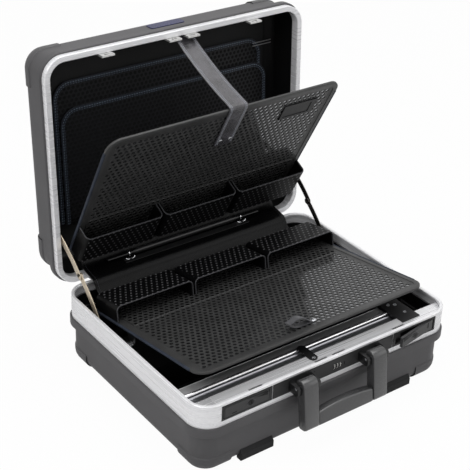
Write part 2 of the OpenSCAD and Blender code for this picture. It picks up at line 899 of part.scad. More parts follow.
module lever(open) {
    free = latch_in + 6;
    color(black) translate([latch_x, latch_y, plate_mid]) rotate(open) difference() {
        union() {
            translate([free - latch_x, -lever_t / 2 - 0.3, -lever_h / 2])
                cube([latch_x - free, lever_t, lever_h]);
            cylinder(r = 2.4, h = lever_h, center = true);
        }
        cylinder(r = latch_pin_r + run_gap, h = lever_h + 2, center = true);
        translate([key_x - latch_x, 0, 0]) rotate([90, 0, 0])
            cylinder(r = key_r + run_gap, h = 30, center = true);
        translate([free - latch_x, -lever_t / 2 + 0.9, 0]) rotate([90, 0, 0]) linear_extrude(4)
            polygon([[-1, lever_h / 2 - 3.5], [38, lever_h / 2 - 0.5], [38, lever_h], [-1, lever_h]]);
    }
}

module key(open) {
    color(alloy) translate([latch_x, latch_y, plate_mid]) rotate(open) translate([key_x - latch_x, 0, 0])
        rotate([90, 0, 0]) difference() {
            translate([0, 0, -lever_t / 2 + 0.5]) cylinder(r = key_r, h = lever_t + 0.4);
            translate([-0.6, -2.5, lever_t / 2 - 0.6]) cube([1.2, 5, 4]);
        }
}

module latch_lever_left() {
    mirror([1, 0, 0]) lever(0);
}

module latch_lever_right() {
    lever(latch_open);
}

module key_cylinder_left() {
    mirror([1, 0, 0]) key(0);
}

module key_cylinder_right() {
    key(latch_open);
}

module front_bumpers() {
    cy = -half_d + inset + edge_r;
    cz = pad_h + edge_r;
    r = edge_r + 0.2;
    front = -half_d + inset - bumper_out;
    color(black) for (s = [-1, 1]) {
        side_view(s * bumper_x - bumper_w / 2, bumper_w) polygon(concat(
            arc(cy, cz, r, 180, 234),
            [[cy - r * 0.62, 2], [front + 2, 2], [front, 4], [front, 15], [front + 2, 17]]
        ));
    }
}

// Hinges of five knuckles each, the outer ones and the middle one on the base

module knuckles(first) {
    pitch = hinge_len / 5;
    for (s = [-1, 1], i = [first:2:4]) {
        translate([s * hinge_x - hinge_len / 2 + i * pitch + 0.1, hinge_y, hinge_z])
            rotate([0, 90, 0]) difference() {
                cylinder(r = knuckle_r, h = pitch - 0.2);
                translate([0, 0, -1]) cylinder(r = hinge_pin_r + run_gap, h = pitch + 2);
            }
    }
}

module leaf_tabs(first, z0, z1) {
    pitch = hinge_len / 5;
    for (s = [-1, 1], i = [first:2:4]) {
        translate([s * hinge_x - hinge_len / 2 + i * pitch + 0.1, half_d + 0.1, z0])
            cube([pitch - 0.2, leaf_t, z1 - z0]);
    }
}

module leaf(z0, z1) {
    for (s = [-1, 1]) {
        translate([s * hinge_x - hinge_len / 2 + 0.1, half_d + 0.1, z0])
            cube([hinge_len - 0.2, leaf_t, z1 - z0]);
    }
}

module base_hinge_leaves() {
    top = hinge_z - knuckle_r - 0.5;
    color(nickel) {
        knuckles(0);
        leaf_tabs(0, top - 1, hinge_z);
        leaf(hinge_z - leaf_h, top);
    }
}

module lid_hinge_leaves() {
    foot = hinge_z + knuckle_r + 0.5;
    color(nickel) lid_pose() {
        knuckles(1);
        leaf_tabs(1, hinge_z, foot + 1);
        leaf(foot, lid_z + lid_skirt - 0.6);
    }
}

module hinge_pins() {
    color(nickel) for (s = [-1, 1]) {
        translate([s * hinge_x, hinge_y, hinge_z]) rotate([0, 90, 0])
            cylinder(r = hinge_pin_r, h = hinge_len - 0.6, center = true);
    }
}

// Lid: every lid piece is drawn shut and turned back on the hinge to the open pose

module lid_pose() {
    translate([0, hinge_y, hinge_z]) rotate([-lid_open, 0, 0]) translate([0, -hinge_y, -hinge_z]) children();
}

module lid_shell() {
    color(shell_grey) lid_pose() translate([0, 0, lid_z + lid_h]) mirror([0, 0, 1])
        shell(lid_h - lid_skirt - lip_h + 3, lid_h - lid_skirt, lid_h - lid_rim_t, band_t, wall_in);
}

module lid_frame() {
    w = lid_rim_w;
    color(alloy) lid_pose() translate([0, 0, lid_z]) frame_sweep() polygon([
        [-w + 1, 0], [-1, 0], [0, 1], [0, lid_skirt], [-band_t, lid_skirt], [-band_t, lid_rim_t],
        [-wall_in, lid_rim_t], [-wall_in, lid_inner_skirt], [-w, lid_inner_skirt], [-w, 1]
    ]);
}

module lid_catches() {
    y0 = -half_d + lid_rim_w + 0.1;
    color(alloy) lid_pose() for (x = [-catch_outer_x, -catch_inner_x, catch_inner_x, catch_outer_x]) {
        translate([x, y0, lid_z - catch_reach]) difference() {
            translate([-catch_w / 2, 0, 0]) cube([catch_w, catch_t - 0.2, catch_reach + lid_inner_skirt - 2]);
            translate([-5, -1, 3]) cube([10, catch_t + 2, 3.5]);
        }
    }
}

module lid_lining() {
    color(black) lid_pose() translate([0, 0, lining_z]) linear_extrude(mat_t)
        rounded_rect(inner_w - 2 * edge_r + 4, inner_d - 2 * edge_r + 4, 12);
}

// A pocket is a panel held off the lining by a rim on its two sides and its hinge end
module pocket(x, top_y, low_y, z) {
    length = low_y - top_y;
    color(black) lid_pose() translate([x, top_y, z]) {
        linear_extrude(pocket_t) round_top_rect(pocket_w, length, pocket_r);
        translate([0, 0, pocket_t - eps]) linear_extrude(pocket_room + eps) difference() {
            round_top_rect(pocket_w, length, pocket_r);
            translate([-pocket_w / 2 + 2, -1]) square([pocket_w - 4, length - 1]);
            translate([-pocket_w / 2 - 1, -1]) square([pocket_w + 2, pocket_r + 1]);
        }
    }
}

module round_top_rect(w, d, r) {
    translate([0, d]) mirror([0, 1]) round_end_rect(w, d, r);
}

module upper_pocket() {
    pocket(upper_pocket_x, upper_pocket_y, pocket_low_y, upper_pocket_z);
}

module lower_pocket() {
    pocket(lower_pocket_x, upper_pocket_y + pocket_step, pocket_low_y, lower_pocket_z);
}

module rod(a, b, r) {
    v = b - a;
    translate(a) rotate([0, acos(v[2] / norm(v)), atan2(v[1], v[0])]) cylinder(r = r, h = norm(v));
}

module pocket_cords() {
    x0 = half_w - wall_in - 3.8;
    x1 = pocket_w / 2 + upper_pocket_x - 16;
    y = upper_pocket_y + pocket_r / 3;
    z = upper_pocket_z - 0.9;
    color(alloy) lid_pose() for (dy = [0, 5]) {
        rod([x0, y + dy, z - 0.2], [x1, y + dy, z - 0.2], 0.8);
    }
}

module name_plate() {
    y0 = -half_d + inset - nameplate_t - 0.1;
    color([0.08, 0.12, 0.35]) lid_pose() translate([nameplate_x, y0, lid_z + 51]) rotate([-90, 0, 0])
        linear_extrude(nameplate_t) rounded_rect(nameplate_w, nameplate_h, 4);
}

// Stays

// A link's bar is a little narrower than its round ends
module link_bar(p, q, x0) {
    d = q - p;
    n = (link_w / 2 - 0.3) * [-d[1], d[0]] / norm(d);
    side_view(x0, link_t) difference() {
        union() {
            polygon([p + n, q + n, q - n, p - n]);
            translate(p) circle(link_w / 2);
            translate(q) circle(link_w / 2);
        }
        translate(p) circle(1.5 + run_gap);
    }
}

module cross_pin(p, x0, x1, r) {
    translate([min(x0, x1), p[0], p[1]]) rotate([0, 90, 0]) cylinder(r = r, h = abs(x1 - x0));
}

module stay_rivet(p, wall_x, slab_x) {
    cross_pin(p, wall_x, slab_x + link_t + 0.3, rivet_r);
    cross_pin(p, slab_x + link_t + 0.4, slab_x - 0.4, 1.5);
    cross_pin(p, slab_x - 0.3, slab_x - 1.3, rivet_r - 0.5);
}

module stay_lower(s) {
    color(nickel) mirror([s < 0 ? 1 : 0, 0, 0]) {
        link_bar(stay_base, stay_knee, link_lower_x);
        cross_pin(stay_knee, link_lower_x - 0.9, link_lower_x + 0.01, rivet_r - 0.5);
    }
}

module stay_upper(s) {
    color(nickel) mirror([s < 0 ? 1 : 0, 0, 0]) link_bar(stay_lid, stay_knee, link_upper_x);
}

module stay_lower_left() {
    stay_lower(-1);
}

module stay_lower_right() {
    stay_lower(1);
}

module stay_upper_left() {
    stay_upper(-1);
}

module stay_upper_right() {
    stay_upper(1);
}

module stay_base_rivets() {
    color(nickel) for (m = [0, 1]) {
        mirror([m, 0, 0]) stay_rivet(stay_base, half_w - band_t - wall - 0.1, link_lower_x);
    }
}

module stay_lid_rivets() {
    color(nickel) for (m = [0, 1]) {
        mirror([m, 0, 0]) stay_rivet(stay_lid, half_w - lid_rim_w - 0.1, link_upper_x);
    }
}

// Tool boards: drawn flat, with Y running from the free edge to the spine edge and Z towards the holders

module lower_pose() {
    translate([0, -half_d + lower_front, base_h + lower_rise]) rotate([-lower_tilt, 0, 0]) children();
}

module upper_pose() {
    translate([0, hinge_y - upper_front, base_h + upper_rise]) rotate([upper_tilt - 90, 0, 0])
        mirror([0, 0, 1]) children();
}

module tool_board() {
    translate([0, 0, -board_t / 2]) linear_extrude(board_t - border_h) round_top_rect(board_w, board_l, board_r);
    translate([0, 0, -board_t / 2]) linear_extrude(board_t) difference() {
        round_top_rect(board_w, board_l, board_r);
        translate([0, border_w]) round_top_rect(board_w - 2 * border_w, panel_l, board_r - border_w);
    }
}

module holder(x, w, back) {
    inner_r = holder_r - holder_wall;
    translate([x, board_l - back, board_t / 2 + 0.1]) rotate([90, 0, 0]) {
        linear_extrude(holder_d) difference() {
            round_end_rect(w, holder_h, holder_r);
            translate([0, -1]) round_end_rect(w - 2 * holder_wall, holder_h + 1 - holder_wall, inner_r);
        }
        linear_extrude(holder_wall) round_end_rect(w, holder_h, holder_r);
        for (i = [0:rib_count - 1]) {
            span = w - 2 * holder_r - 6;
            translate([-span / 2 + i * span / (rib_count - 1) - rib_t / 2, holder_h - holder_wall - rib_t, 0])
                cube([rib_t, rib_t + eps, holder_d - 3]);
        }
    }
}

module holders(back) {
    full = board_w - 3;
    w = (full - 2 * holder_gap) / 3;
    color(black) for (i = [-1:1]) {
        holder(i * (w + holder_gap), w, back);
    }
}

module lower_board() {
    color(board_grey) lower_pose() tool_board();
}

module upper_board() {
    color(board_grey) upper_pose() tool_board();
}

module lower_holders() {
    lower_pose() holders(lower_holder_back);
}

module upper_holders() {
    upper_pose() holders(upper_holder_back);
}

module board_carriers() {
    under = -board_t / 2 - 0.1;
    color(black) lower_pose() for (s = [-1, 1]) {
        side_view(s * carrier_x - carrier_t / 2, carrier_t) difference() {
            union() {
                polygon([
                    [stud_at - carrier_w / 2, under], [stud_at + carrier_w / 2, under],
                    [stud_at + 7, -stud_drop], [stud_at - 7, -stud_drop]
                ]);
                translate([stud_at, -stud_drop]) circle(7);
            }
            translate([stud_at, -stud_drop]) circle(stud_r + run_gap);
        }
        translate([s * (carrier_x - 5) - 5, stud_at - carrier_w / 2, under - 1.5]) cube([10, carrier_w, 1.5]);
    }
}

module board_studs() {
    wall_x = half_w - band_t - wall - 0.1;
    color(alloy) for (m = [0, 1]) {
        mirror([m, 0, 0]) {
            cross_pin(stud_point, wall_x, carrier_x - carrier_t / 2 - 2, stud_r);
            cross_pin(stud_point, wall_x, carrier_x + carrier_t / 2 + 0.3, stud_r + 2);
        }
    }
}

// The loop's lower and upper half at a share u of its length, from the stud to the free end
function loop_pt(u, raised) = [
    loop_x - u * loop_len, 1.1 + loop_rise * (0.7 * pow(u, 6) + (raised ? sin(180 * pow(u, 1.2)) : 0))
];

module pull_loop() {
    n = 16;
    half = [0, loop_t / 2];
    color(leather) lower_pose() translate([0, loop_l + loop_w / 2, board_t / 2 - border_h])
        rotate([90, 0, 0]) linear_extrude(loop_w) difference() {
            polygon(concat(
                [for (i = [0:n]) loop_pt(i / n, false) - half],
                [for (i = [n:-1:0]) loop_pt(i / n, true) + half]
            ));
            polygon(concat(
                [for (i = [2:n - 1]) loop_pt(i / n, false) + half],
                [for (i = [n - 1:-1:2]) loop_pt(i / n, true) - half]
            ));
        }
}

module loop_stud() {
    color(alloy) lower_pose() translate([loop_x + stud_head_r + soft_gap, loop_l, board_t / 2 - border_h + 0.1]) {
        cylinder(r = stud_head_r, h = 1.2);
        cylinder(r = stud_head_r - 2, h = 2.6);
    }
}

module label_holder() {
    z0 = board_t / 2 - border_h + 0.1;
    color(black) upper_pose() translate([label_x, label_l, z0]) {
        linear_extrude(label_t / 2) square([label_w, label_h], center = true);
        linear_extrude(label_t) difference() {
            square([label_w, label_h], center = true);
            translate([-3, 0]) square([label_w - 14, label_h - 10], center = true);
        }
    }
}

// Soft pieces: a strip of even thickness along a path in the side view

function unit(v) = v / norm(v);
function path_normal(p, i) = let(
    a = p[max(i - 1, 0)], b = p[min(i + 1, len(p) - 1)], d = unit(b - a)
) [-d[1], d[0]];

module strip(path, t) {
    n = len(path) - 1;
    polygon(concat(
        [for (i = [0:n]) path[i] + t / 2 * path_normal(path, i)],
        [for (i = [n:-1:0]) path[i] - t / 2 * path_normal(path, i)]
    ));
}

module spine() {
    color(leather) side_view(-spine_w / 2, spine_w) strip(spine_path, spine_t);
}

module carry_strap() {
    color(leather) translate([0, strap_at[0], strap_at[1]]) rotate([0, 90, 0]) {
        cylinder(r = cord_r, h = 2 * ring_x - 16, center = true);
        cylinder(r = cord_r - 1.5, h = 2 * (ring_x + strap_past), center = true);
    }
}

module carry_rings() {
    color(alloy) for (s = [-1, 1]) {
        translate([s * ring_x, strap_at[0], strap_at[1]]) rotate([0, 90, 0]) rotate_extrude()
            translate([cord_r - 0.1, 0]) circle(1.2);
    }
}

module lid_strap() {
    color(leather) side_view(strap_x - strap_w / 2, strap_w) strip(lid_strap_path, strap_t);
}

base_shell();
base_frame();
lock_rail();
front_divider();
divider_block();
block_screws();
divider_clip();
middle_divider();
rear_divider();
cross_divider();
floor_mat();
lock_plate();
wheel_axle();
number_wheel_1();
number_wheel_2();
number_wheel_3();
handle_bracket_left();
handle_bracket_right();
handle_pins();
handle_arm_left();
handle_arm_right();
handle_grip();
latch_housing_left();
latch_housing_right();
latch_pins();
latch_lever_left();
latch_lever_right();
key_cylinder_left();
key_cylinder_right();
front_bumpers();
base_hinge_leaves();
hinge_pins();
stay_base_rivets();
stay_lower_left();
stay_lower_right();
board_studs();
lid_shell();
lid_frame();
lid_hinge_leaves();
lid_catches();
lid_lining();
upper_pocket();
lower_pocket();
pocket_cords();
name_plate();
stay_lid_rivets();
stay_upper_left();
stay_upper_right();
lid_strap();
lower_board();
lower_holders();
board_carriers();
pull_loop();
loop_stud();
upper_board();
upper_holders();
label_holder();
spine();
carry_strap();
carry_rings();
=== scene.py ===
import bisect
from functools import partialmethod
from math import atan2, copysign, cos, degrees, pi, radians, sin, sqrt

import bpy
from mathutils import Matrix, Vector


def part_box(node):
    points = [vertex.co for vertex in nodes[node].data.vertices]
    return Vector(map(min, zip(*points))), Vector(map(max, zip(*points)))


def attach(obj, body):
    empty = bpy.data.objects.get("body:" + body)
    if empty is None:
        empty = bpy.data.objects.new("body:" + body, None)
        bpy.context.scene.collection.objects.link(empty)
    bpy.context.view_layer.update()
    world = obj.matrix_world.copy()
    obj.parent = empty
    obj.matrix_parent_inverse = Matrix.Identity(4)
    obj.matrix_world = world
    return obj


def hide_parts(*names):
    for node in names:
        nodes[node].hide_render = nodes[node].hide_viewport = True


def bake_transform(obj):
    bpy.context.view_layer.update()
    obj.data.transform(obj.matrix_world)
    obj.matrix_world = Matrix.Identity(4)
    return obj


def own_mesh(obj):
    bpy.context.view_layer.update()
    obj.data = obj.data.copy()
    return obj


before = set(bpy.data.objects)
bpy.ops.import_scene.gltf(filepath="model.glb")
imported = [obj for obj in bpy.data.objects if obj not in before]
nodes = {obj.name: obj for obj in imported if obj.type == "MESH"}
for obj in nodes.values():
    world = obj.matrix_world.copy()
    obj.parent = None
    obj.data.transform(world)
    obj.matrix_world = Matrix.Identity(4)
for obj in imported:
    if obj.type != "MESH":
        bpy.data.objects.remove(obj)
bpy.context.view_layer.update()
print("frame loaded")

scene = bpy.context.scene
scene.view_settings.view_transform = "Standard"

mm = 0.001


def deselectAll():
    if bpy.context.object and bpy.context.object.mode != "OBJECT":
        bpy.ops.object.mode_set(mode="OBJECT")
    bpy.ops.object.select_all(action="DESELECT")


def pick(obj):
    deselectAll()
    obj.select_set(True)
    bpy.context.view_layer.objects.active = obj
    return obj


def settle(obj):  # puts the object's place into its mesh
    pick(obj)
    bpy.ops.object.transform_apply(location=True, rotation=True, scale=True)
    return obj


def named(name):
    obj = bpy.context.object
    obj.name = name
    obj.data.name = name
    return settle(obj)


def made(name, kind, **settings):
    deselectAll()
    getattr(bpy.ops.mesh, f"primitive_{kind}_add")(**settings)
    return named(name)


def box(name, low, high):
    low, high = Vector(low) * mm, Vector(high) * mm
    return made(name, "cube", size=1, location=(low + high) / 2, scale=high - low)


def rod(name, start, end, radius, sides=24):
    start, end = Vector(start) * mm, Vector(end) * mm
    turn = (end - start).to_track_quat("Z", "Y").to_euler()
    return made(name, "cylinder", vertices=sides, radius=radius * mm, depth=(end - start).length,
                location=(start + end) / 2, rotation=turn)


def disc(name, sides, radius, fill="NGON", centre=(0, 0, 0)):
    return made(name, "circle", vertices=sides, radius=radius * mm, fill_type=fill,
                location=tuple(c * mm for c in centre))


def ring(name, across, radius, wire, sides, wireSides):
    turn = Vector(across).to_track_quat("Z", "Y").to_euler()
    return made(name, "torus", rotation=turn, major_segments=sides, minor_segments=wireSides,
                major_radius=radius * mm, minor_radius=wire * mm)


def panel(name, low, high, z=0, cuts=(0, 0)):  # a flat face in X and Y
    deselectAll()
    low, high = Vector((*low, z)) * mm, Vector((*high, z)) * mm
    bpy.ops.mesh.primitive_grid_add(x_subdivisions=cuts[0] + 1, y_subdivisions=cuts[1] + 1, size=1,
                                    location=(low + high) / 2)
    bpy.context.object.scale = ((high - low).x, (high - low).y, 1)
    return named(name)


def edit(obj, kind, test):  # enters edit mode with the parts selected that pass the test
    mesh = pick(obj).data
    where = [v.co / mm for v in mesh.vertices]
    for v in mesh.vertices:
        v.select = kind == "VERT" and test(where[v.index])
    for e in mesh.edges:
        e.select = kind == "EDGE" and test(*[where[i] for i in e.vertices])
    for f in mesh.polygons:
        f.select = kind == "FACE" and test(f.center / mm, f.normal)
    bpy.ops.object.mode_set(mode="EDIT")
    bpy.ops.mesh.select_mode(type=kind)


def editAll(obj, kind="VERT"):
    edit(obj, kind, lambda *part: True)
    bpy.ops.mesh.select_all(action="SELECT")


def leave():
    bpy.ops.object.mode_set(mode="OBJECT")


def modify(obj, kind, **settings):
    pick(obj)
    modifier = obj.modifiers.new(kind.title(), kind)
    for key, value in settings.items():
        setattr(modifier, key, value)
    bpy.ops.object.modifier_apply(modifier=modifier.name)
    return obj


def thicken(obj, thick, offset=0):
    return modify(obj, "SOLIDIFY", thickness=thick * mm, offset=offset)


def repeat(obj, count, step, **merge):
    return modify(obj, "ARRAY", count=count, use_relative_offset=False, use_constant_offset=True,
                  constant_offset_displace=tuple(c * mm for c in step), **merge)


def soften(obj, width, segments, angle=35):
    return modify(obj, "BEVEL", width=width * mm, segments=segments, limit_method="ANGLE",
                  angle_limit=radians(angle))


def smooth(obj, angle=40):
    pick(obj)
    bpy.ops.object.shade_smooth_by_angle(angle=radians(angle))
    return obj


def join(name, pieces):
    deselectAll()
    for piece in pieces:
        piece.select_set(True)
    bpy.context.view_layer.objects.active = pieces[0]
    if len(pieces) > 1:
        bpy.ops.object.join()
    pieces[0].name = name
    pieces[0].data.name = name
    return pieces[0]


def copyOf(obj, name):
    deselectAll()
    twin = obj.copy()
    twin.data = obj.data.copy()
    twin.name = name
    scene.collection.objects.link(twin)
    return twin


def weld(obj):
    editAll(obj)
    bpy.ops.mesh.remove_doubles(threshold=0.02 * mm)
    bpy.ops.mesh.normals_make_consistent(inside=False)
    leave()
    return obj


def faceUp(obj):
    if sum(f.normal.z for f in obj.data.polygons) < 0:
        editAll(obj)
        bpy.ops.mesh.flip_normals()
        leave()


def reshape(obj, rule):  # moves each point one by one to where the rule puts it
    for v in obj.data.vertices:
        v.co = Vector(rule(v.co / mm)) * mm
    obj.data.update()
    return obj


def shift(x, y, z=0):
    return Matrix.Translation(Vector((x, y, z)) * mm)


def place(obj, matrix):
    obj.data.transform(matrix)
    obj.data.update()
    return obj


class Route:  # a smooth line through points in millimetres, measured along its length, with its way across or up
    def __init__(self, points, rounds=2, across=None, up=None):
        self.across, self.up = across and Vector(across), up and Vector(up)
        points = [Vector(p) for p in points]
        for _ in range(rounds):
            cut = [points[0]]
            for a, b in zip(points, points[1:]):
                cut += [a.lerp(b, 0.25), a.lerp(b, 0.75)]
            points = [*cut, points[-1]]
        self.points, self.marks = points, [0]
        for a, b in zip(points, points[1:]):
            self.marks.append(self.marks[-1] + (b - a).length)
        self.length = self.marks[-1]
        last = len(points) - 1
        self.ways = [(points[min(i + 1, last)] - points[max(i - 1, 0)]).normalized() for i in range(last + 1)]

    def at(self, s):  # the place and the direction at a distance along the line
        inside = min(max(s, 0), self.length)
        i = min(max(bisect.bisect_right(self.marks, inside) - 1, 0), len(self.points) - 2)
        t = (inside - self.marks[i]) / (self.marks[i + 1] - self.marks[i])
        way = self.ways[i].lerp(self.ways[i + 1], t).normalized()
        return self.points[i].lerp(self.points[i + 1], t) + (s - inside) * way, way


def follow(obj, route):  # bends a piece that is drawn along X onto a route
    def rule(p):
        spot, way = route.at(p.x)
        side = route.across or route.up.cross(way).normalized()
        return spot + side * p.y + way.cross(side) * p.z
    return reshape(obj, rule)


def ribbon(name, route, wide, thick, cuts, edge=0):
    strip = follow(panel(name, (0, -wide / 2), (route.length, wide / 2), 0, cuts), route)
    thicken(strip, thick)
    return smooth(soften(strip, edge, 2, 50), 60) if edge else strip


def wire(name, points, radius, fine=3):  # a round line through points
    deselectAll()
    bpy.ops.curve.primitive_nurbs_path_add()
    data = bpy.context.object.data
    data.splines.clear()
    line = data.splines.new("POLY")
    line.points.add(len(points) - 1)
    for spot, p in zip(line.points, points):
        spot.co = (*(Vector(p) * mm), 1)
    data.bevel_depth, data.bevel_resolution, data.use_fill_caps = radius * mm, fine, True
    bpy.ops.object.convert(target="MESH")
    return smooth(named(name), 60)


def stitches(name, route, side, lift, pitch=3.4, dash=2.2, wide=0.8, high=0.5):
    start = 0.6
    one = box(name, (start, side - wide / 2, lift - high / 2), (start + dash, side + wide / 2, lift + high / 2))
    repeat(soften(one, 0.18, 1), int((route.length - 1) / pitch), (pitch, 0, 0))
    return smooth(follow(one, route), 50)


def seams(name, route, offsets, thick, *sizes):  # stitches on both faces of a strip
    return join(name, [stitches(name, route, side, t * (thick / 2 + 0.05), *sizes)
                       for side in offsets for t in (-1, 1)])


def arch(x, half, low, top, corner, step):  # an outline up one side, across and down the other
    turns = [radians(a) for a in range(0, 91, step)]
    rise = copysign(corner, top - low)
    left = [(x - half + corner - corner * cos(t), top - rise + rise * sin(t)) for t in turns]
    right = [(x + half - corner + corner * sin(t), top - rise + rise * cos(t)) for t in turns]
    return [(x - half, low), *left, *right, (x + half, low)]


def nodeBox(name):
    return [Vector(c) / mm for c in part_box(name)]


def dress(piece, look, body, slot, *replaced):  # finish and body in one go; slot is not used
    finishOn(looks[look], piece)
    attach(piece, body)
    if replaced:
        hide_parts(*replaced)
    return piece


case = {
    "halfWidth": 240, "halfDepth": 188, "baseHeight": 122, "rimGap": 0.4,
    "hinge": (191.5, 114), "lidOpen": 93, "wallIn": 8,
    "lowerFront": 38, "lowerRise": 28, "lowerTilt": 9.4,
    "upperFront": 107.5, "upperRise": 290, "upperTilt": 27.5,
}
hingeY, hingeZ = case["hinge"]
sides = ((-1, "Left"), (1, "Right"))
lidZ = case["baseHeight"] + case["rimGap"]


def openPoint(y, z):  # a point of the shut lid's side view, once the lid stands open
    a = radians(case["lidOpen"])
    dy, dz = y - hingeY, z - hingeZ
    return (hingeY + dy * cos(a) + dz * sin(a), hingeZ - dy * sin(a) + dz * cos(a))


def lowerPoint(l, h):
    a = radians(case["lowerTilt"])
    return (-case["halfDepth"] + case["lowerFront"] + l * cos(a) + h * sin(a),
            case["baseHeight"] + case["lowerRise"] - l * sin(a) + h * cos(a))


def upperPoint(l, h):
    a = radians(case["upperTilt"])
    return (hingeY - case["upperFront"] + l * sin(a) - h * cos(a),
            case["baseHeight"] + case["upperRise"] - l * cos(a) - h * sin(a))


def sideMatrix(point):  # carries a flat layout of across, along and up into the case
    o, l, h = Vector((0, *point(0, 0))), Vector((0, *point(1, 0))), Vector((0, *point(0, 1)))
    m = Matrix.Identity(4)
    m.col[1][:3] = l - o
    m.col[2][:3] = h - o
    m.col[3][:3] = o * mm
    return m


lowerPlace = sideMatrix(lowerPoint)
upperPlace = sideMatrix(upperPoint)
lidPlace = sideMatrix(openPoint)
# the side views put a layout's second axis along the board or the shut lid's depth


class Flow:  # one socket of a material, so that sums can be written as sums
    def __init__(self, look, socket):
        self.look, self.socket = look, socket

    def sum(self, operation, *others):
        node = self.look.node("ShaderNodeMath", {"operation": operation}, *[self, *others])
        return Flow(self.look, node.outputs[0])

    def __rsub__(self, other):
        return (self * -1) + other

    __add__ = __radd__ = partialmethod(sum, "ADD")
    __mul__ = __rmul__ = partialmethod(sum, "MULTIPLY")
    __sub__ = partialmethod(sum, "SUBTRACT")
    __truediv__ = partialmethod(sum, "DIVIDE")
    above = partialmethod(sum, "GREATER_THAN")
    least = partialmethod(sum, "MINIMUM")
    most = partialmethod(sum, "MAXIMUM")
    size = partialmethod(sum, "ABSOLUTE")
    share = partialmethod(sum, "FRACT")
    root = partialmethod(sum, "SQRT")


class Nodes:  # a tree of shader nodes
    def __init__(self, tree):
        self.tree = tree

    def node(self, kind, settings={}, *values, **named):
        made = self.tree.nodes.new(kind)
        for key, value in settings.items():
            setattr(made, key, value)
        for i, value in enumerate(values):
            self.feed(made.inputs[i], value)
        for key, value in named.items():
            self.feed(made.inputs[key.replace("_", " ")], value)
        return made

    def feed(self, socket, value):
        if isinstance(value, (Flow, bpy.types.NodeSocket)):
            self.tree.links.new(getattr(value, "socket", value), socket)
        else:
            socket.default_value = value

    def rays(self, *kinds):  # 1 for rays of each kind
        path = self.node("ShaderNodeLightPath")
        return [Flow(self, path.outputs[f"Is {kind} Ray"]) for kind in kinds]


class Look(Nodes):  # one material and the nodes in it
    def __init__(self, name, **fixed):
        self.material = bpy.data.materials.new(name)
        self.material.use_nodes = True
        super().__init__(self.material.node_tree)
        self.shader = self.tree.nodes["Principled BSDF"]
        self.at = self.place()
        for key, value in fixed.items():
            self.feed(self.shader.inputs[key.replace("_", " ")], value)

    def skin(self, colour, rough, normal):
        for name, value in (("Base Color", colour), ("Roughness", rough), ("Normal", normal)):
            self.feed(self.shader.inputs[name], value)
        return self

    def place(self, turn=(0, 0, 0), scale=(1, 1, 1), centre=(0, 0, 0)):  # Object coordinates in millimetres
        where = self.node("ShaderNodeTexCoord").outputs["Object"]
        moved = self.node("ShaderNodeMapping", {"vector_type": "TEXTURE"}, Vector=where,
                          Location=tuple(c * mm for c in centre), Rotation=turn, Scale=(mm, mm, mm))
        return self.node("ShaderNodeVectorMath", {"operation": "MULTIPLY"}, moved.outputs[0], scale).outputs[0]

    def parts(self, vector):
        split = self.node("ShaderNodeSeparateXYZ", {}, vector)
        return [Flow(self, split.outputs[i]) for i in range(3)]

    def noise(self, scale, detail=2, rough=0.5, at=None):
        made = self.node("ShaderNodeTexNoise", {"noise_dimensions": "3D"}, Vector=at or self.at, Scale=scale,
                         Detail=detail, Roughness=rough)
        return Flow(self, made.outputs["Fac"])

    def cells(self, scale, feature="F1"):
        made = self.node("ShaderNodeTexVoronoi", {"feature": feature}, Vector=self.at, Scale=scale)
        return Flow(self, made.outputs["Distance"])

    def span(self, flow, low, high, toLow=0.0, toHigh=1.0):
        made = self.node("ShaderNodeMapRange", {"clamp": True}, flow, low, high, toLow, toHigh)
        return Flow(self, made.outputs[0])

    def rough(self, flow, value, under, over):
        return self.span(flow, 0.3, 0.7, value - under, value + over)

    def blend(self, factor, a, b):  # colours as a picture shows them, 0 to 255, or sockets
        made = self.node("ShaderNodeMix", {"data_type": "RGBA"})
        self.feed(made.inputs[0], factor)
        for i, value in ((6, a), (7, b)):
            self.feed(made.inputs[i], (*tint(*value), 1) if isinstance(value, tuple) else value)
        return made.outputs[2]

    def clouds(self, flow, a, b, low=0.3, high=0.7):
        return self.blend(self.span(flow, low, high), a, b)

    def bump(self, height, strength, distance, edge=None):  # with each edge slightly rounded
        made = self.node("ShaderNodeBump", {}, Strength=strength, Distance=distance * mm, Height=height)
        if edge:
            self.feed(made.inputs["Normal"], self.rounded(edge))
        return made.outputs[0]

    def rounded(self, radius):
        return self.node("ShaderNodeBevel", {"samples": 4}, Radius=radius * mm).outputs[0]

    def facing(self, a, b):
        return Flow(self, self.node("ShaderNodeVectorMath", {"operation": "DOT_PRODUCT"}, a, b).outputs["Value"])

    def flat(self):
        return self.node("ShaderNodeNewGeometry").outputs["Normal"]

    def edges(self, radius):  # 1 on rounded edges, 0 on flats
        return self.span(self.facing(self.rounded(radius), self.flat()), 0.995, 0.88)

    def lattice(self, a, b, pitch, row):  # the distance to the nearest point of staggered rows
        def toPoint(shift):
            u = ((a / pitch + shift + 100).share() - 0.5) * pitch
            v = ((b / (2 * row) + shift + 100).share() - 0.5) * 2 * row
            return (u * u + v * v).root()
        return toPoint(0).least(toPoint(0.5))


def tint(r, g, b):
    return tuple((c / 255 / 12.92) if c <= 10 else ((c / 255 + 0.055) / 1.055) ** 2.4 for c in (r, g, b))


def shaded(colour, share):
    return tuple(c * share for c in colour)


def finishOn(look, obj):
    obj.data.materials.clear()
    obj.data.materials.append(look.material)
    for face in obj.data.polygons:
        face.material_index = 0


shellValues = {"colour": (79, 78, 80), "worn": (120, 119, 121), "grain": 0.9, "roughness": 0.52, "edge": 0.8}


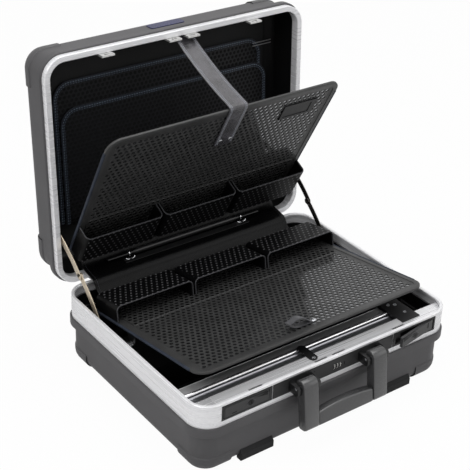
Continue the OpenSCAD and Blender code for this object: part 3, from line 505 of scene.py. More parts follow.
def makeShell():
    look = Look("mouldedShell", IOR=1.48)
    grain = look.cells(shellValues["grain"])
    cloud = look.noise(0.02, 3)
    fine = look.noise(1.6, 3)
    wear = look.edges(shellValues["edge"]) * look.span(look.noise(0.12, 3), 0.35, 0.7)
    base = look.clouds(cloud, shaded(shellValues["colour"], 0.96), shaded(shellValues["colour"], 1.03))
    return look.skin(look.blend(wear * 0.5, base, shellValues["worn"]),
                     look.rough(fine, shellValues["roughness"], 0.05, 0.06),
                     look.bump(grain * 0.7 + fine * 0.5, 0.35, 0.12, shellValues["edge"]))


alloyValues = {"colour": (252, 252, 254), "dull": (243, 243, 246), "mark": (150, 151, 154), "roughness": 0.28,
               "edge": 0.5}


def makeAlloy(name, run, deep, metallic, shade=1.0):  # run scales the brush marks in X, Y and Z
    look = Look(name, Metallic=metallic)
    brush = look.noise(1.0, 4, 0.6, look.place(scale=run))
    bands = look.noise(1.0, 2, 0.5, look.place(scale=shaded(run, 0.22)))
    marks = look.span(look.noise(1.4, 4, 0.65, look.place(scale=(0.6, 0.6, 0.6))), 0.64, 0.78)
    base = look.clouds(brush * 0.35 + bands * 0.65, shaded(alloyValues["dull"], shade),
                       shaded(alloyValues["colour"], shade), 0.3, 0.56)
    rough = alloyValues["roughness"]
    return look.skin(look.blend(marks * 0.06, base, alloyValues["mark"]),
                     look.span(bands, 0.35, 0.65, rough - 0.03, rough + 0.03),
                     look.bump(brush + bands * deep, 0.02, 0.03, alloyValues["edge"]))


# top and foot are the two ends of a painted reflection running down the divider's face
dividerValues = {"top": (170, 171, 176), "foot": (246, 246, 250), "depth": (6.5, 9.5)}


def makeDividerAlloy():  # the face of the divider is painted lighter towards the rail and darker near the bead: a painted reflection of the lamps
    look = Look("dividerAlloy", Metallic=0.95)
    z = look.parts(look.at)[2]
    high = nodeBox("front_divider")[1].z
    near, far = dividerValues["depth"]
    brush = look.noise(1.0, 4, 0.6, look.place(scale=(0.012, 0.9, 0.9)))
    share = look.span(z + brush * 0.8, high - near, high - far)
    return look.skin(look.blend(share, dividerValues["top"], dividerValues["foot"]),
                     look.span(brush, 0.3, 0.7, 0.26, 0.36), look.bump(brush, 0.04, 0.03, 0.4))


def makeMetal(name, colour, roughness, metallic=1.0, edge=0.3):
    look = Look(name, Metallic=metallic)
    smear = look.noise(0.25, 3)
    return look.skin(look.clouds(smear, shaded(colour, 0.9), colour, 0.35, 0.65),
                     look.rough(smear, roughness, 0.04, 0.07), look.bump(look.noise(2.5, 2), 0.03, 0.03, edge))


# rim is a colour painted onto the rounded edges in place of the light they catch: a painted edge highlight, except on
# the grey ledge, where the darker rim is painted edge shade
def makeBlack(name, colour=(20, 20, 21), roughness=0.42, grain=1.2, strength=0.25, edge=0.5, rim=(62, 62, 64),
              shine=0.22):
    look = Look(name, Specular_IOR_Level=shine)
    pebble = look.cells(grain)
    fine = look.noise(grain * 1.7, 2)
    return look.skin(look.blend(look.edges(edge) * 0.45, colour, rim), look.rough(fine, roughness, 0.06, 0.07),
                     look.bump(pebble * 0.6 + fine * 0.4, strength, 0.12, edge))


boardValues = {"colour": (50, 50, 50), "light": (62, 62, 62), "roughness": 0.4, "grain": 1.5}


def makeBoard():
    look = Look("pebbledBoard", Specular_IOR_Level=0.4)
    pebble = look.cells(boardValues["grain"])
    rough = boardValues["roughness"]
    return look.skin(look.clouds(look.noise(0.03, 2), boardValues["colour"], boardValues["light"]),
                     look.span(pebble, 0, 0.6, rough - 0.05, rough + 0.08), look.bump(pebble, 0.3, 0.15))


holderValues = {"colour": (9, 9, 10), "rim": (92, 92, 95), "dot": (120, 120, 122), "pitch": 9.5, "row": 8.2,
                "dotRadius": 1.45}


def makeHolder(name, point):  # black moulding with rows of small raised dots on the flat faces
    look = Look(name, Specular_IOR_Level=0.08)
    (y, z), (alongY, alongZ) = point(0, 0), point(1, 0)
    turn = atan2(alongZ - z, alongY - y)
    x, l = look.parts(look.place(turn=(turn, 0, 0), centre=(0, y, z)))[:2]
    nearest = look.lattice(x, l, holderValues["pitch"], holderValues["row"])
    flat = look.facing(look.flat(), (0, -sin(turn), cos(turn))).size().above(0.9)
    dots = look.span(nearest, holderValues["dotRadius"] + 0.25, holderValues["dotRadius"] - 0.25) * flat
    fine = look.noise(1.8, 2)
    # the rim colour lightens the rounded edges: a painted edge highlight
    base = look.blend(look.edges(0.5) * 0.6, holderValues["colour"], holderValues["rim"])
    return look.skin(look.blend(dots * 0.9, base, holderValues["dot"]), look.span(fine, 0.3, 0.7, 0.36, 0.48),
                     look.bump(fine * 0.3 + dots * 1.2, 0.4, 0.3, 0.5))


def makeLeather(name, colour=(8, 8, 9), light=(11, 11, 12), roughness=0.26, grain=0.9, shine=0.16):
    look = Look(name, Specular_IOR_Level=shine)
    creases = look.span(look.cells(grain, "DISTANCE_TO_EDGE"), 0.0, 0.12)
    folds = look.noise(0.06, 3)
    return look.skin(look.clouds(folds, colour, light), look.span(creases, 0, 1, roughness + 0.12, roughness),
                     look.bump(creases * 0.5 + folds * 2.0, 0.3, 0.25))


def makeFabric(name, colour, light, pitch=1.1, roughness=0.85):
    look = Look(name, Sheen_Weight=0.15, Sheen_Roughness=0.5)
    weave = look.cells(pitch)
    tufts = look.noise(0.5, 4, 0.7)
    return look.skin(look.clouds(tufts, colour, light, 0.3, 0.75), roughness,
                     look.bump(weave * 0.5 + tufts * 0.8, 0.5, 0.3))


pocketValues = {"pitch": 8.0, "hole": 2.75, "thread": (22, 22, 24), "light": (36, 37, 40), "gap": (3, 3, 4)}


def makeNet():  # staggered round holes over a dark ground
    look = Look("pocketNet", Specular_IOR_Level=0.3)
    spot = look.parts(look.at)
    nearest = look.lattice(spot[0], spot[2], pocketValues["pitch"], pocketValues["pitch"] * 0.866)
    hole = look.span(nearest, pocketValues["hole"] + 0.25, pocketValues["hole"] - 0.25)
    strands = look.noise(1.2, 3)
    base = look.clouds(strands, pocketValues["thread"], pocketValues["light"])
    return look.skin(look.blend(hole, base, pocketValues["gap"]), look.span(hole, 0, 1, 0.5, 0.9),
                     look.bump((1 - hole) + strands * 0.3, 0.6, 0.6))


plateValues = {"colour": (8, 14, 72), "worn": (44, 54, 130), "roughness": (0.22, 0.34)}


def makePlate():
    look = Look("plateBlue", Specular_IOR_Level=0.25)
    cloud = look.span(look.noise(0.05, 2), 0.3, 0.7)
    return look.skin(look.blend(look.edges(0.6) * 0.6 + cloud * 0.15, plateValues["colour"], plateValues["worn"]),
                     look.span(look.noise(1.0, 2), 0.3, 0.7, *plateValues["roughness"]),
                     look.bump(look.noise(1.5, 2), 0.05, 0.05, 0.6))


looks = {
    "shell": makeShell(),
    "alloy": makeAlloy("satinAlloy", (0.03, 0.03, 0.9), 0.3, 0.15),
    # the rail's alloy is the frame alloy with its colours darkened by 0.93: painted shade
    "railAlloy": makeAlloy("railAlloy", (0.012, 0.9, 0.9), 1.0, 0.45, 0.93),
    "divider": makeDividerAlloy(),
    "bead": makeMetal("beadBright", (252, 252, 254), 0.22, 0.95),
    "steel": makeMetal("turnedSteel", (196, 197, 200), 0.26),
    "catch": makeMetal("palePlating", (226, 226, 224), 0.3, 0.7),
    "nickel": makeMetal("stayNickel", (206, 192, 170), 0.3, 0.6),
    # the right stays wear a darkened copy of the nickel: painted shade for their unlit side
    "shadedStay": makeMetal("stayShade", (60, 57, 53), 0.35, 0.8),
    "chrome": makeMetal("ringChrome", (232, 233, 236), 0.08),
    "bareSheet": makeMetal("bareSheet", (150, 151, 153), 0.08, 1.0, 0.1),
    "black": makeBlack("mouldedBlack"),
    "lock": makeBlack("lockBlack", (52, 52, 53), 0.4, 1.6, 0.18, 0.4, (96, 96, 98)),
    "lever": makeBlack("leverBlack", (66, 66, 67), 0.34, 1.8, 0.12, 0.4, (110, 110, 112)),
    "interior": makeBlack("interiorBlack", (11, 11, 12), 0.5, 0.8, 0.3, 0.5, (44, 44, 46), 0.22),
    "rubber": makeBlack("bumperRubber", (34, 34, 35), 0.62, 0.9, 0.35, 0.6, (52, 52, 54)),
    "handle": makeBlack("handlePlastic", (64, 64, 65), 0.24, 1.3, 0.1, 0.9, (120, 120, 122), 0.8),
    "bracket": makeBlack("bracketBlack", (18, 18, 19), 0.3, 1.6, 0.1, 0.7, (120, 120, 122), 0.35),
    "beadGrey": makeBlack("beadGrey", (74, 74, 77), 0.34, 2.0, 0.08, 0.2, (110, 110, 113)),
    "digit": makeBlack("digitWhite", (226, 226, 222), 0.5, 2.0, 0.1, 0.1, (226, 226, 222)),
    # the ledge's grey is painted far lighter than its own dark moulding so that it still reads mid grey in the lower
    # board's shadow: painted light
    "ledge": makeBlack("ledgeGrey", (156, 156, 157), 0.38, 1.6, 0.12, 0.5, (90, 90, 92), 0.5),
    "board": makeBoard(),
    "leather": makeLeather("spineLeather"),
    "carry": makeLeather("carryLeather", (20, 20, 21), (34, 34, 35), 0.28, 1.0, 0.55),
    "strap": makeLeather("strapLeather", (38, 37, 40), (76, 74, 80), 0.26, 1.1, 0.8),
    "loop": makeLeather("loopLeather", (76, 76, 79), (100, 100, 103), 0.42, 1.1, 0.5),
    "trim": makeLeather("edgeTrimBlue", (42, 47, 57), (58, 65, 78), 0.4, 1.2),
    "stitch": makeFabric("threadGrey", (140, 143, 152), (176, 179, 188), 2.0),
    "stitchBlue": makeFabric("threadBlue", (120, 140, 160), (170, 186, 200), 2.0),
    "threadDark": makeFabric("threadDark", (52, 53, 58), (84, 85, 92), 2.0),
    "piping": makeFabric("pipingBlue", (9, 14, 24), (20, 32, 50), 1.6, 0.6),
    "lining": makeFabric("feltBlack", (9, 9, 10), (19, 19, 20)),
    "cord": makeFabric("cordPale", (150, 150, 150), (196, 196, 198), 1.8),
    "net": makeNet(),
    "plate": makePlate(),
    "lowerHolder": makeHolder("lowerHolderBlack", lowerPoint),
    "upperHolder": makeHolder("upperHolderBlack", upperPoint),
}
print("materials made")

cadFinish = {  # a star stands for left and right
    "shell": ["base_shell", "lid_shell"],
    "handle": ["handle_arm_*", "handle_grip"],
    "alloy": ["base_frame", "lid_frame"],
    "railAlloy": ["lock_rail"],
    "divider": ["front_divider"],
    "steel": ["wheel_axle", "handle_pins", "latch_pins", "board_studs", "base_hinge_leaves", "lid_hinge_leaves",
              "hinge_pins", "block_screws"],
    "catch": ["lid_catches"],
    "nickel": ["stay_base_rivets", "stay_lid_rivets", "stay_lower_left", "stay_upper_left"],
    "shadedStay": ["stay_lower_right", "stay_upper_right"],
    "black": ["key_cylinder_*", "divider_block", "divider_clip", "board_carriers", "label_holder",
              "handle_bracket_*"],
    "interior": ["middle_divider", "rear_divider", "cross_divider"],
    "lock": ["lock_plate", "latch_housing_*", "number_wheel_1", "number_wheel_2", "number_wheel_3"],
    "lever": ["latch_lever_*"],
    "rubber": ["front_bumpers"],
    "lining": ["floor_mat", "lid_lining"],
    "chrome": ["carry_rings", "loop_stud"],
    "plate": ["name_plate"],
    "board": ["lower_board", "upper_board"],
    "lowerHolder": ["lower_holders"],
    "upperHolder": ["upper_holders"],
    "leather": ["spine", "carry_strap"],
    "strap": ["lid_strap"],
    "loop": ["pull_loop"],
    "net": ["upper_pocket", "lower_pocket"],
    "cord": ["pocket_cords"],
}
for key, members in cadFinish.items():
    for member in members:
        for side in ("left", "right"):
            finishOn(looks[key], nodes[member.replace("*", side)])


def blackenInside(name):  # the faces that look in towards the middle of the shell
    mesh = nodes[name].data
    low, high = (Vector(c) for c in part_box(name))
    mesh.materials.append(looks["interior"].material)
    for face in mesh.polygons:
        if (face.center - (low + high) / 2).dot(face.normal) < 0:
            face.material_index = 1


for shellName in ("base_shell", "lid_shell"):
    blackenInside(shellName)


view = {"azimuth": -37.62, "elevation": 30.11, "roll": 2.39, "place": (-1019.6, -1259.3, 1170.0), "lens": 94.388,
        "shift": 1.6 / 470, "sensor": 36, "clip": (0.05, 50)}

studio = {"floor": 12, "under": -0.0005, "paper": (0.93, 0.93, 0.93, 1), "white": (1, 1, 1, 1), "seen": 0.97,
          "mirrored": 0.45, "air": 0.24}


def makeFloor():
    floor = made("studioFloor", "plane", size=studio["floor"], location=(0, 0, studio["under"]))
    look = Look("studioPaper", Roughness=0.9, Base_Color=studio["paper"])
    light = look.node("ShaderNodeEmission", {}, Color=studio["white"], Strength=1.0)
    camera, mirror = look.rays("Camera", "Glossy")
    mix = look.node("ShaderNodeMixShader", {}, camera * studio["seen"] + mirror * studio["mirrored"],
                    look.shader.outputs[0], light.outputs[0])
    look.feed(look.tree.nodes["Material Output"].inputs["Surface"], mix.outputs[0])
    finishOn(look, floor)


def makeWorld():  # soft light all round, and plain white where the camera or a shine looks at it
    scene.world = bpy.data.worlds.new("studioAir")
    scene.world.use_nodes = True
    air = Nodes(scene.world.node_tree)
    back = air.tree.nodes["Background"]
    for name, value in (("Color", studio["white"]), ("Strength", studio["air"])):
        air.feed(back.inputs[name], value)
    white = air.node("ShaderNodeBackground", {}, Color=studio["white"], Strength=1.0)
    camera, mirror = air.rays("Camera", "Glossy")
    mix = air.node("ShaderNodeMixShader", {}, camera.most(mirror), back.outputs[0], white.outputs[0])
    air.feed(air.tree.nodes["World Output"].inputs["Surface"], mix.outputs[0])


lamps = [
    {"name": "keyLamp", "place": (-1.6, -0.6, 1.9), "aim": (0, 0, 0.15), "size": 1.3, "power": 15.5},
    {"name": "topLamp", "place": (0.3, 0.1, 2.4), "aim": (0, 0, 0.1), "size": 1.8, "power": 27},
    {"name": "fillLamp", "place": (1.7, -1.6, 1.2), "aim": (0, 0, 0.2), "size": 1.4, "power": 4},
]


def makeLamps():
    for lamp in lamps:
        data = bpy.data.lights.new(lamp["name"], "AREA")
        data.shape = "SQUARE"
        data.size, data.energy = lamp["size"], lamp["power"]
        obj = bpy.data.objects.new(lamp["name"], data)
        scene.collection.objects.link(obj)
        obj.location = lamp["place"]
        obj.rotation_euler = (Vector(lamp["aim"]) - Vector(lamp["place"])).to_track_quat("-Z", "Y").to_euler()


def makeCamera():
    data = bpy.data.cameras.new("photoCamera")
    cam = bpy.data.objects.new("photoCamera", data)
    scene.collection.objects.link(cam)
    m = shift(*view["place"])
    for angle, axis in ((view["azimuth"], "Z"), (90 - view["elevation"], "X"), (view["roll"], "Z")):
        m = m @ Matrix.Rotation(radians(angle), 4, axis)
    cam.matrix_world = m
    data.sensor_width, data.lens, data.shift_y = view["sensor"], view["lens"], view["shift"]
    data.clip_start, data.clip_end = view["clip"]
    scene.camera = cam


makeCamera()
makeFloor()
makeWorld()
makeLamps()
print("stage made")

# Tool boards: a field of staggered holes in a raised border

board = {"width": 430, "length": 285, "thick": 3.5, "corner": 22, "margin": 15.5, "lip": 9, "step": 1,
         "pitch": 9.5, "row": 8.2, "hole": 3.4, "sheet": 0.9, "backing": 1.9, "backingThick": 0.7, "raisedRow": 22,
         "trim": 2.3, "trimInset": 0.6}
boardTop = board["thick"] / 2


def holeCell():  # one cell of the field: sixteen faces round a hole
    cell = disc("boardField", 16, board["hole"], "NOTHING")
    editAll(cell, "EDGE")
    bpy.ops.mesh.extrude_edges_move()
    leave()
    p, r = board["pitch"] / 2, board["row"] / 2
    quarter = [(p, 0), (p, r / 2), (p, r), (p / 2, r)]
    half = [*quarter, (0, r), *[(-x, y) for x, y in reversed(quarter[1:])]]
    rim = [*half, *[(-x, -y) for x, y in half]]
    for v in cell.data.vertices[16:]:  # the copies of the circle's points go out to the cell's edge
        v.co = Vector((*rim[round(degrees(atan2(v.co.y, v.co.x)) / 22.5) % 16], 0)) * mm
    return cell


def perforatedField():
    pitch, row, margin = board["pitch"], board["row"], board["margin"]
    columns = round((board["width"] - 2 * margin) / pitch)
    rows = round((board["length"] - 2 * margin) / row)
    cell = place(holeCell(), shift(-(columns - 1) / 2 * pitch, margin + row / 2))
    odd = place(copyOf(cell, "oddRow"), shift(pitch / 2, row))
    merge = {"use_merge_vertices": True, "merge_threshold": 0.01 * mm}
    repeat(cell, columns, (pitch, 0, 0), **merge)
    repeat(odd, columns - 1, (pitch, 0, 0), **merge)
    half, low = columns * pitch / 2, margin + row
    ends = [panel("rowEnd", (left, low), (left + pitch / 2, low + row), 0, (1, 3))
            for left in (-half, half - pitch / 2)]  # the shifted rows end in half a cell without a hole
    field = join("boardField", [cell, odd, *ends])
    repeat(field, (rows + 1) // 2, (0, 2 * row, 0), **merge)
    limit = margin + rows * row + 0.1
    edit(field, "FACE", lambda c, n: c.y > limit)
    bpy.ops.mesh.delete(type="FACE")
    leave()
    faceUp(weld(field))
    top = boardTop - board["step"]
    stepAt = margin + board["raisedRow"] * row + 0.5
    reshape(field, lambda p: (p.x, p.y, top + (board["step"] if p.y > stepAt else 0)))
    return thicken(field, board["sheet"], -1)


def boardBacking():  # the bare metal sheet that the holes show
    edge = board["width"] / 2 - board["margin"] + 2
    low, high = board["margin"] - 2, board["length"] - board["margin"] + 2
    top = boardTop - board["backing"]
    sheet = box("boardBacking", (-edge, low, top - board["backingThick"]), (edge, high, top))
    soften(sheet, 0.2, 2)
    finishOn(looks["board"], sheet)
    sheet.data.materials.append(looks["bareSheet"].material)
    for face in sheet.data.polygons:
        face.material_index = 1 if face.normal.z > 0.9 else 0
    return sheet


def boardBorder():
    wide, length, lip = board["width"], board["length"], board["lip"]
    rim = panel("boardBorder", (-wide / 2, 0), (wide / 2, length), boardTop - board["step"])
    edit(rim, "VERT", lambda p: p.y < 1)
    bpy.ops.mesh.bevel(offset=board["corner"] * mm, segments=10, affect="VERTICES")
    leave()
    edit(rim, "FACE", lambda c, n: True)
    bpy.ops.mesh.inset(thickness=lip * mm)
    bpy.ops.mesh.inset(thickness=(board["margin"] - lip) * mm)
    bpy.ops.mesh.delete(type="FACE")
    leave()
    thicken(rim, board["thick"] - board["step"], -1)
    edge = wide / 2 - lip
    edit(rim, "FACE", lambda c, n: n.z > 0.9 and (abs(c.x) > edge or c.y < lip or c.y > length - lip))
    bpy.ops.mesh.extrude_region_move(TRANSFORM_OT_translate={"value": (0, 0, board["step"] * mm)})
    leave()
    return soften(rim, 0.45, 2, 30)


def boardTrim():  # soft edging along the two side edges
    trims = []
    for s in (-1, 1):
        x = s * (board["width"] / 2 - board["trimInset"])
        piece = rod("edgeTrim", (x, board["corner"] + 4, 0), (x, board["length"] - 2, 0), board["trim"], 16)
        trims.append(soften(piece, 0.6, 2, 50))
    trim = smooth(join("edgeTrim", trims), 50)
    finishOn(looks["trim"], trim)
    return trim


def makeBoards():
    field, backing, border = perforatedField(), boardBacking(), boardBorder()
    both = smooth(join("lowerToolBoard", [field, border]), 35)
    finishOn(looks["board"], both)
    for part, name, slot in ((backing, "BoardBacking", "board_plastic"), (both, "ToolBoard", "board_plastic"),
                             (boardTrim(), "EdgeTrim", "soft_leather")):
        upper = copyOf(part, f"upper{name}")
        for piece, side, matrix in ((part, "lower", lowerPlace), (upper, "upper", upperPlace)):
            piece.name = f"{side}{name}"
            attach(place(piece, matrix), f"{side}_tray")
            if part == both:
                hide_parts(f"{side}_board")


makeBoards()
print("tool boards made")


# Cords: the twin pocket cords, taut between the lid wall and the upper pocket

pocketCord = {"from": 228.2, "to": 190, "depth": (-109.5, -104.5), "height": 190.6, "radius": 0.8, "steps": 15}


def makePocketCords():
    start, run = pocketCord["from"], pocketCord["to"] - pocketCord["from"]
    for i, y in enumerate(pocketCord["depth"]):
        points = [lidPlace @ (Vector((start + run * k / pocketCord["steps"], y, pocketCord["height"])) * mm) / mm
                  for k in range(pocketCord["steps"] + 1)]
        cord = wire(f"pocketCord{i + 1}", points, pocketCord["radius"])
        dress(cord, "cord", "lid", "cord_fabric")
        path = [p * mm for p in points]
        tuple(path[0])
        [tuple(p) for p in path]
        if i == 0:
            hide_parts("pocket_cords")


makePocketCords()
print("cords made")


# Leather spine between the boards, with its seams

spine = {"halfWidth": 192, "thick": 2.8, "strapAt": (200, 139.4), "bend": 18.35, "crest": (177, 127.5), "hem": 5,
         "ripple": (0, 0.25, -0.35),
         "foot": [(7, 1), (0, 0), (-5, -4), (-8, -10), (-14.5, -17), (-25, -22)],
         "foldAxis": (0, 0.694, 0.72), "foldFrom": (0, 131.7, 103.3), "keep": 0.72}


def spineRoute():
    y, z = spine["strapAt"]
    cy, cz = spine["crest"]
    top = upperPoint(board["length"] + 1.7, 0)
    turns = [radians(-11.25 * i) for i in range(9)]
    bend = [(y - 3 + spine["bend"] * cos(t), z + 10 + spine["bend"] * sin(t)) for t in turns]
    low = [(cy + dy, cz + dz) for dy, dz in spine["foot"]]
    side = [top, (top[0] - 1.2, top[1] - 6), *bend, *low, lowerPoint(board["length"] + 0.7, 0)]
    return Route([(0, *p) for p in side], across=(1, 0, 0))


def makeSpine():
    route = spineRoute()
    leather = ribbon("spineLeather", route, 2 * spine["halfWidth"], spine["thick"], (70, 48))
    reshape(leather, lambda p: p + Vector(spine["ripple"]) * sin(p.x / 23) * sin(p.x / 61 + 1))
    dress(smooth(soften(leather, 0.6, 2, 50), 60), "leather", "spine_fold", "soft_leather", "spine")
    edge = spine["halfWidth"] - spine["hem"]
    seam = seams("spineStitches", route, (-edge, edge), spine["thick"])
    dress(seam, "threadDark", "spine_fold", "soft_leather")
    for piece in (leather, seam):  # each piece gets a mesh of its own
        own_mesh(piece)


makeSpine()


# Carry strap: a padded roll in two rings, its ends and the flat strap under it

carry = {"halfRoll": 104, "radius": 4.9, "ring": 112, "end": 151, "endRadius": 3.4, "bar": 8.5,
         "under": (190.5, 132.7), "underHalf": 124, "underTilt": 0.17, "underSize": (10, 1.2),
         "barDrop": (6.8, 3.6), "barBow": (1.2, 3.2), "barRadius": 1.1}


def dressStrap(piece, angle, *node):
    return dress(smooth(piece, angle), "carry", "spine_fold", "soft_leather", *node)


def makeCarryStrap():
    y, z = spine["strapAt"]
    half = carry["halfRoll"]
    roll = wire("carryRoll", [(-half + 2 * half * i / 80, y, z) for i in range(81)], carry["radius"], 5)

    def padded(p):
        toEnd = half - abs(p.x)
        share = min(1, 0.72 + 0.28 * min(1, max(toEnd, 0) / 9) ** 0.5) * (1 + 0.012 * sin(p.x / 5.5))
        return (p.x, y + (p.y - y) * share, z + (p.z - z) * share)

    dressStrap(reshape(roll, padded), 70, "carry_strap")
    line = Route([(x, y, z) for x in (6 - half, 0, half - 6)], 0, (0, 1, 0))
    seam = stitches("carryStitches", line, -1.2, carry["radius"] * 0.96)
    dress(seam, "threadDark", "spine_fold", "soft_leather")
    reach = carry["end"] - half + 2
    for s, side in sides:
        end = wire(f"carryEnd{side}", [(s * (half - 2 + reach * i / 14), y, z - 0.4 * sin(i / 14 * 3.1))
                                       for i in range(15)], carry["endRadius"], 4)
        reshape(end, lambda p: (p.x, p.y, z + (p.z - z) * (0.62 if abs(p.x) > carry["ring"] + 3 else 0.9)))
        dressStrap(end, 70)
    line = Route([(x, *carry["under"]) for x in (-carry["underHalf"], 0, carry["underHalf"])], 0,
                 Vector((0, 1, carry["underTilt"])).normalized())
    under = ribbon("underStrap", line, *carry["underSize"], (40, 4), 0.3)
    dressStrap(under, 60)
    (dropY, dropZ), (bowY, bowZ) = carry["barDrop"], carry["barBow"]
    for s, side in sides:
        turns = [pi * i / 12 for i in range(13)]
        bow = [(s * carry["ring"] + carry["bar"] * cos(t), y - dropY - bowY * sin(t),
                z - dropZ - bowZ * sin(t)) for t in turns]
        bar = wire(f"ringBar{side}", bow, carry["barRadius"])
        dress(bar, "chrome", "spine_fold", "bright_metal")


makeCarryStrap()
print("spine and carry strap made")


# Lid strap, from the lid's wall to the free edge of the upper board

lidStrap = {"x": 11, "width": 34, "thick": 1.9, "clear": 1.3, "onWall": (46, 26, 21), "sag": 6, "tail": 84,
            "seams": (14.4, 12.2), "stitch": (3.0, 2.3, 1.0, 0.5), "studs": (-9, 9), "stud": 3.2}


def strapRoute():
    gap = boardTop + lidStrap["clear"]
    wall = -case["halfDepth"] + case["wallIn"] + lidStrap["clear"]
    run = [openPoint(wall, lidZ + height) for height in lidStrap["onWall"]]
    start, end = Vector(run[-1]), Vector(upperPoint(-gap - 0.6, -1.2))
    hang = [start.lerp(end, i / 12) - Vector((0, lidStrap["sag"] * 4 * i / 12 * (1 - i / 12))) for i in range(13)]
    side = [*run[:2], *hang, upperPoint(-gap, 1.2), upperPoint(-2, gap - 0.4), upperPoint(0, gap),
            upperPoint(lidStrap["tail"], gap)]
    return Route([(lidStrap["x"], *p) for p in side], across=(-1, 0, 0))


def makeLidStrap():
    route = strapRoute()
    strap = ribbon("lidStrapLeather", route, lidStrap["width"], lidStrap["thick"], (110, 8), 0.5)
    finishOn(looks["strap"], strap)
    offsets = [s * side for side in lidStrap["seams"] for s in (-1, 1)]
    seam = seams("strapStitches", route, offsets, lidStrap["thick"], *lidStrap["stitch"])
    finishOn(looks["stitch"], seam)
    for piece in (strap, seam):
        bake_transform(piece)
    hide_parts("lid_strap")
    tip = upperPoint(lidStrap["tail"] - 12, boardTop + 2.6)
    out = Vector((0, *upperPoint(0, 1))) - Vector((0, *upperPoint(0, 0)))
    for i, x in enumerate(lidStrap["studs"]):  # two snap studs hold the strap's end
        base = Vector((lidStrap["x"] + x, *tip))
        stud = rod(f"strapStud{i + 1}", base - out * 0.6, base + out * 0.9, lidStrap["stud"], 24)
        dress(smooth(soften(stud, 0.6, 3), 50), "steel", "upper_tray", "steel_parts")


makeLidStrap()
print("lid strap made")


# Lid pockets: net panels on a rim, with a piped and stitched edge

pockets = {
    "upperPocketNet": {"x": 7, "top": -119.5, "low": 120, "height": 191.7, "node": "upper_pocket"},
    "lowerPocketNet": {"x": 15, "top": -76.5, "low": 120, "height": 186.5, "node": "lower_pocket"},
}
pocketShape = {"halfWidth": 199, "corner": 30, "thick": 1.5, "rim": 5.2, "piping": 1.1, "belly": 1.2, "columns": 72,
               "rows": 44, "wallFrom": 0.97, "binding": (5.6, 0.7), "bindingInset": 3.4,
               "seams": [(5.4, 1.0, 4.6, 2.4, 0.45, 0.4), (2.2, 1.1, 4.6, 2.6, 1.0, 0.6)]}


def pocketEdge(p, lift, inset=0.0):
    line = arch(p["x"], pocketShape["halfWidth"] - inset, p["low"], p["top"] + inset, pocketShape["corner"] - inset, 10)
    return Route([(*q, p["height"] + lift) for q in line], 1, up=(0, 0, -1))


def makePocket(name, p):
    w, r, thick = pocketShape["halfWidth"], pocketShape["corner"], pocketShape["thick"]
    length, bend = p["low"] - p["top"], pocketShape["wallFrom"]
    net = panel(name, (-1, 0), (1, 1), 0, (pocketShape["columns"], pocketShape["rows"]))

    def rule(q):
        u, v = q.x, q.y
        d = v * length
        half = w - r + sqrt(max(r * r - (r - d) ** 2, 0)) if d < r else w
        inner = min(1, abs(u) / bend)
        x = copysign(inner, u) * half
        wall = max(0, abs(u) - bend) / (1 - bend) if d > r else 0
        foot = max(0, v - bend) / (1 - bend)
        belly = pocketShape["belly"] * (1 - inner ** 4) * sin(pi * min(v * 1.1, 1)) ** 0.6 if v > 0 else 0
        folds = 0.35 * sin(u * 23 + 3 * v) * sin(v * 9) * (1 - inner ** 6)
        return (p["x"] + x, p["top"] + min(d, length - 0.02 * foot),
                p["height"] + thick / 2 + pocketShape["rim"] * max(wall, foot) * 0.9 - belly - folds)

    thicken(reshape(net, rule), thick)
    dress(place(smooth(net, 60), lidPlace), "net", "lid", "pocket_mesh", p["node"])
    pipe = wire(name.replace("Net", "Piping"), pocketEdge(p, 0.1).points, pocketShape["piping"])
    band = ribbon(name.replace("Net", "Binding"), pocketEdge(p, -0.5, pocketShape["bindingInset"]),
                  *pocketShape["binding"], (200, 4))
    for piece in (pipe, smooth(band, 60)):
        dress(place(piece, lidPlace), "piping", "lid", "pocket_mesh")
    seam = join(name.replace("Net", "Stitches"), [stitches("seam", pocketEdge(p, 0, inset), 0, *sizes)
                                                  for inset, *sizes in pocketShape["seams"]])
    dress(place(seam, lidPlace), "stitchBlue", "lid", "pocket_mesh")


for name, p in pockets.items():
    makePocket(name, p)
print("pockets made")


# Pull loop of the lower board

pullLoop = {"x": 2.7, "l": 26, "length": 43, "width": 11.6, "rise": 13, "thick": 1.5, "steps": 14, "hem": 1.5,
            "stitch": (2.8, 1.9, 0.6, 0.4)}


def makePullLoop():
    def point(u, raised):
        hump = sin(pi * u ** 1.2) if raised else 0
        return (pullLoop["x"] - u * pullLoop["length"], pullLoop["l"],
                boardTop - board["step"] + 1.1 + pullLoop["rise"] * (0.7 * u ** 6 + hump))
    n = pullLoop["steps"]
    back = [point(i / n, True) for i in range(n - 1, -1, -1)]
    route = Route([*[point(i / n, False) for i in range(n + 1)], *back], across=(0, 1, 0))
    loop = ribbon("pullLoopLeather", route, pullLoop["width"], pullLoop["thick"], (90, 6), 0.4)
    dress(place(loop, lowerPlace), "loop", "lower_tray", "soft_leather", "pull_loop")
    edge = pullLoop["width"] / 2 - pullLoop["hem"]
    seam = seams("loopStitches", route, (-edge, edge), pullLoop["thick"], *pullLoop["stitch"])
    dress(place(seam, lowerPlace), "threadDark", "lower_tray", "soft_leather")


makePullLoop()
print("pull loop made")


# Tool holders: a bead along each mouth

holder = {"gap": 4, "sideGap": 1.5, "depth": 60, "height": 27, "corner": 8, "bead": 0.9, "lowerBack": 5,
          "upperBack": 21}


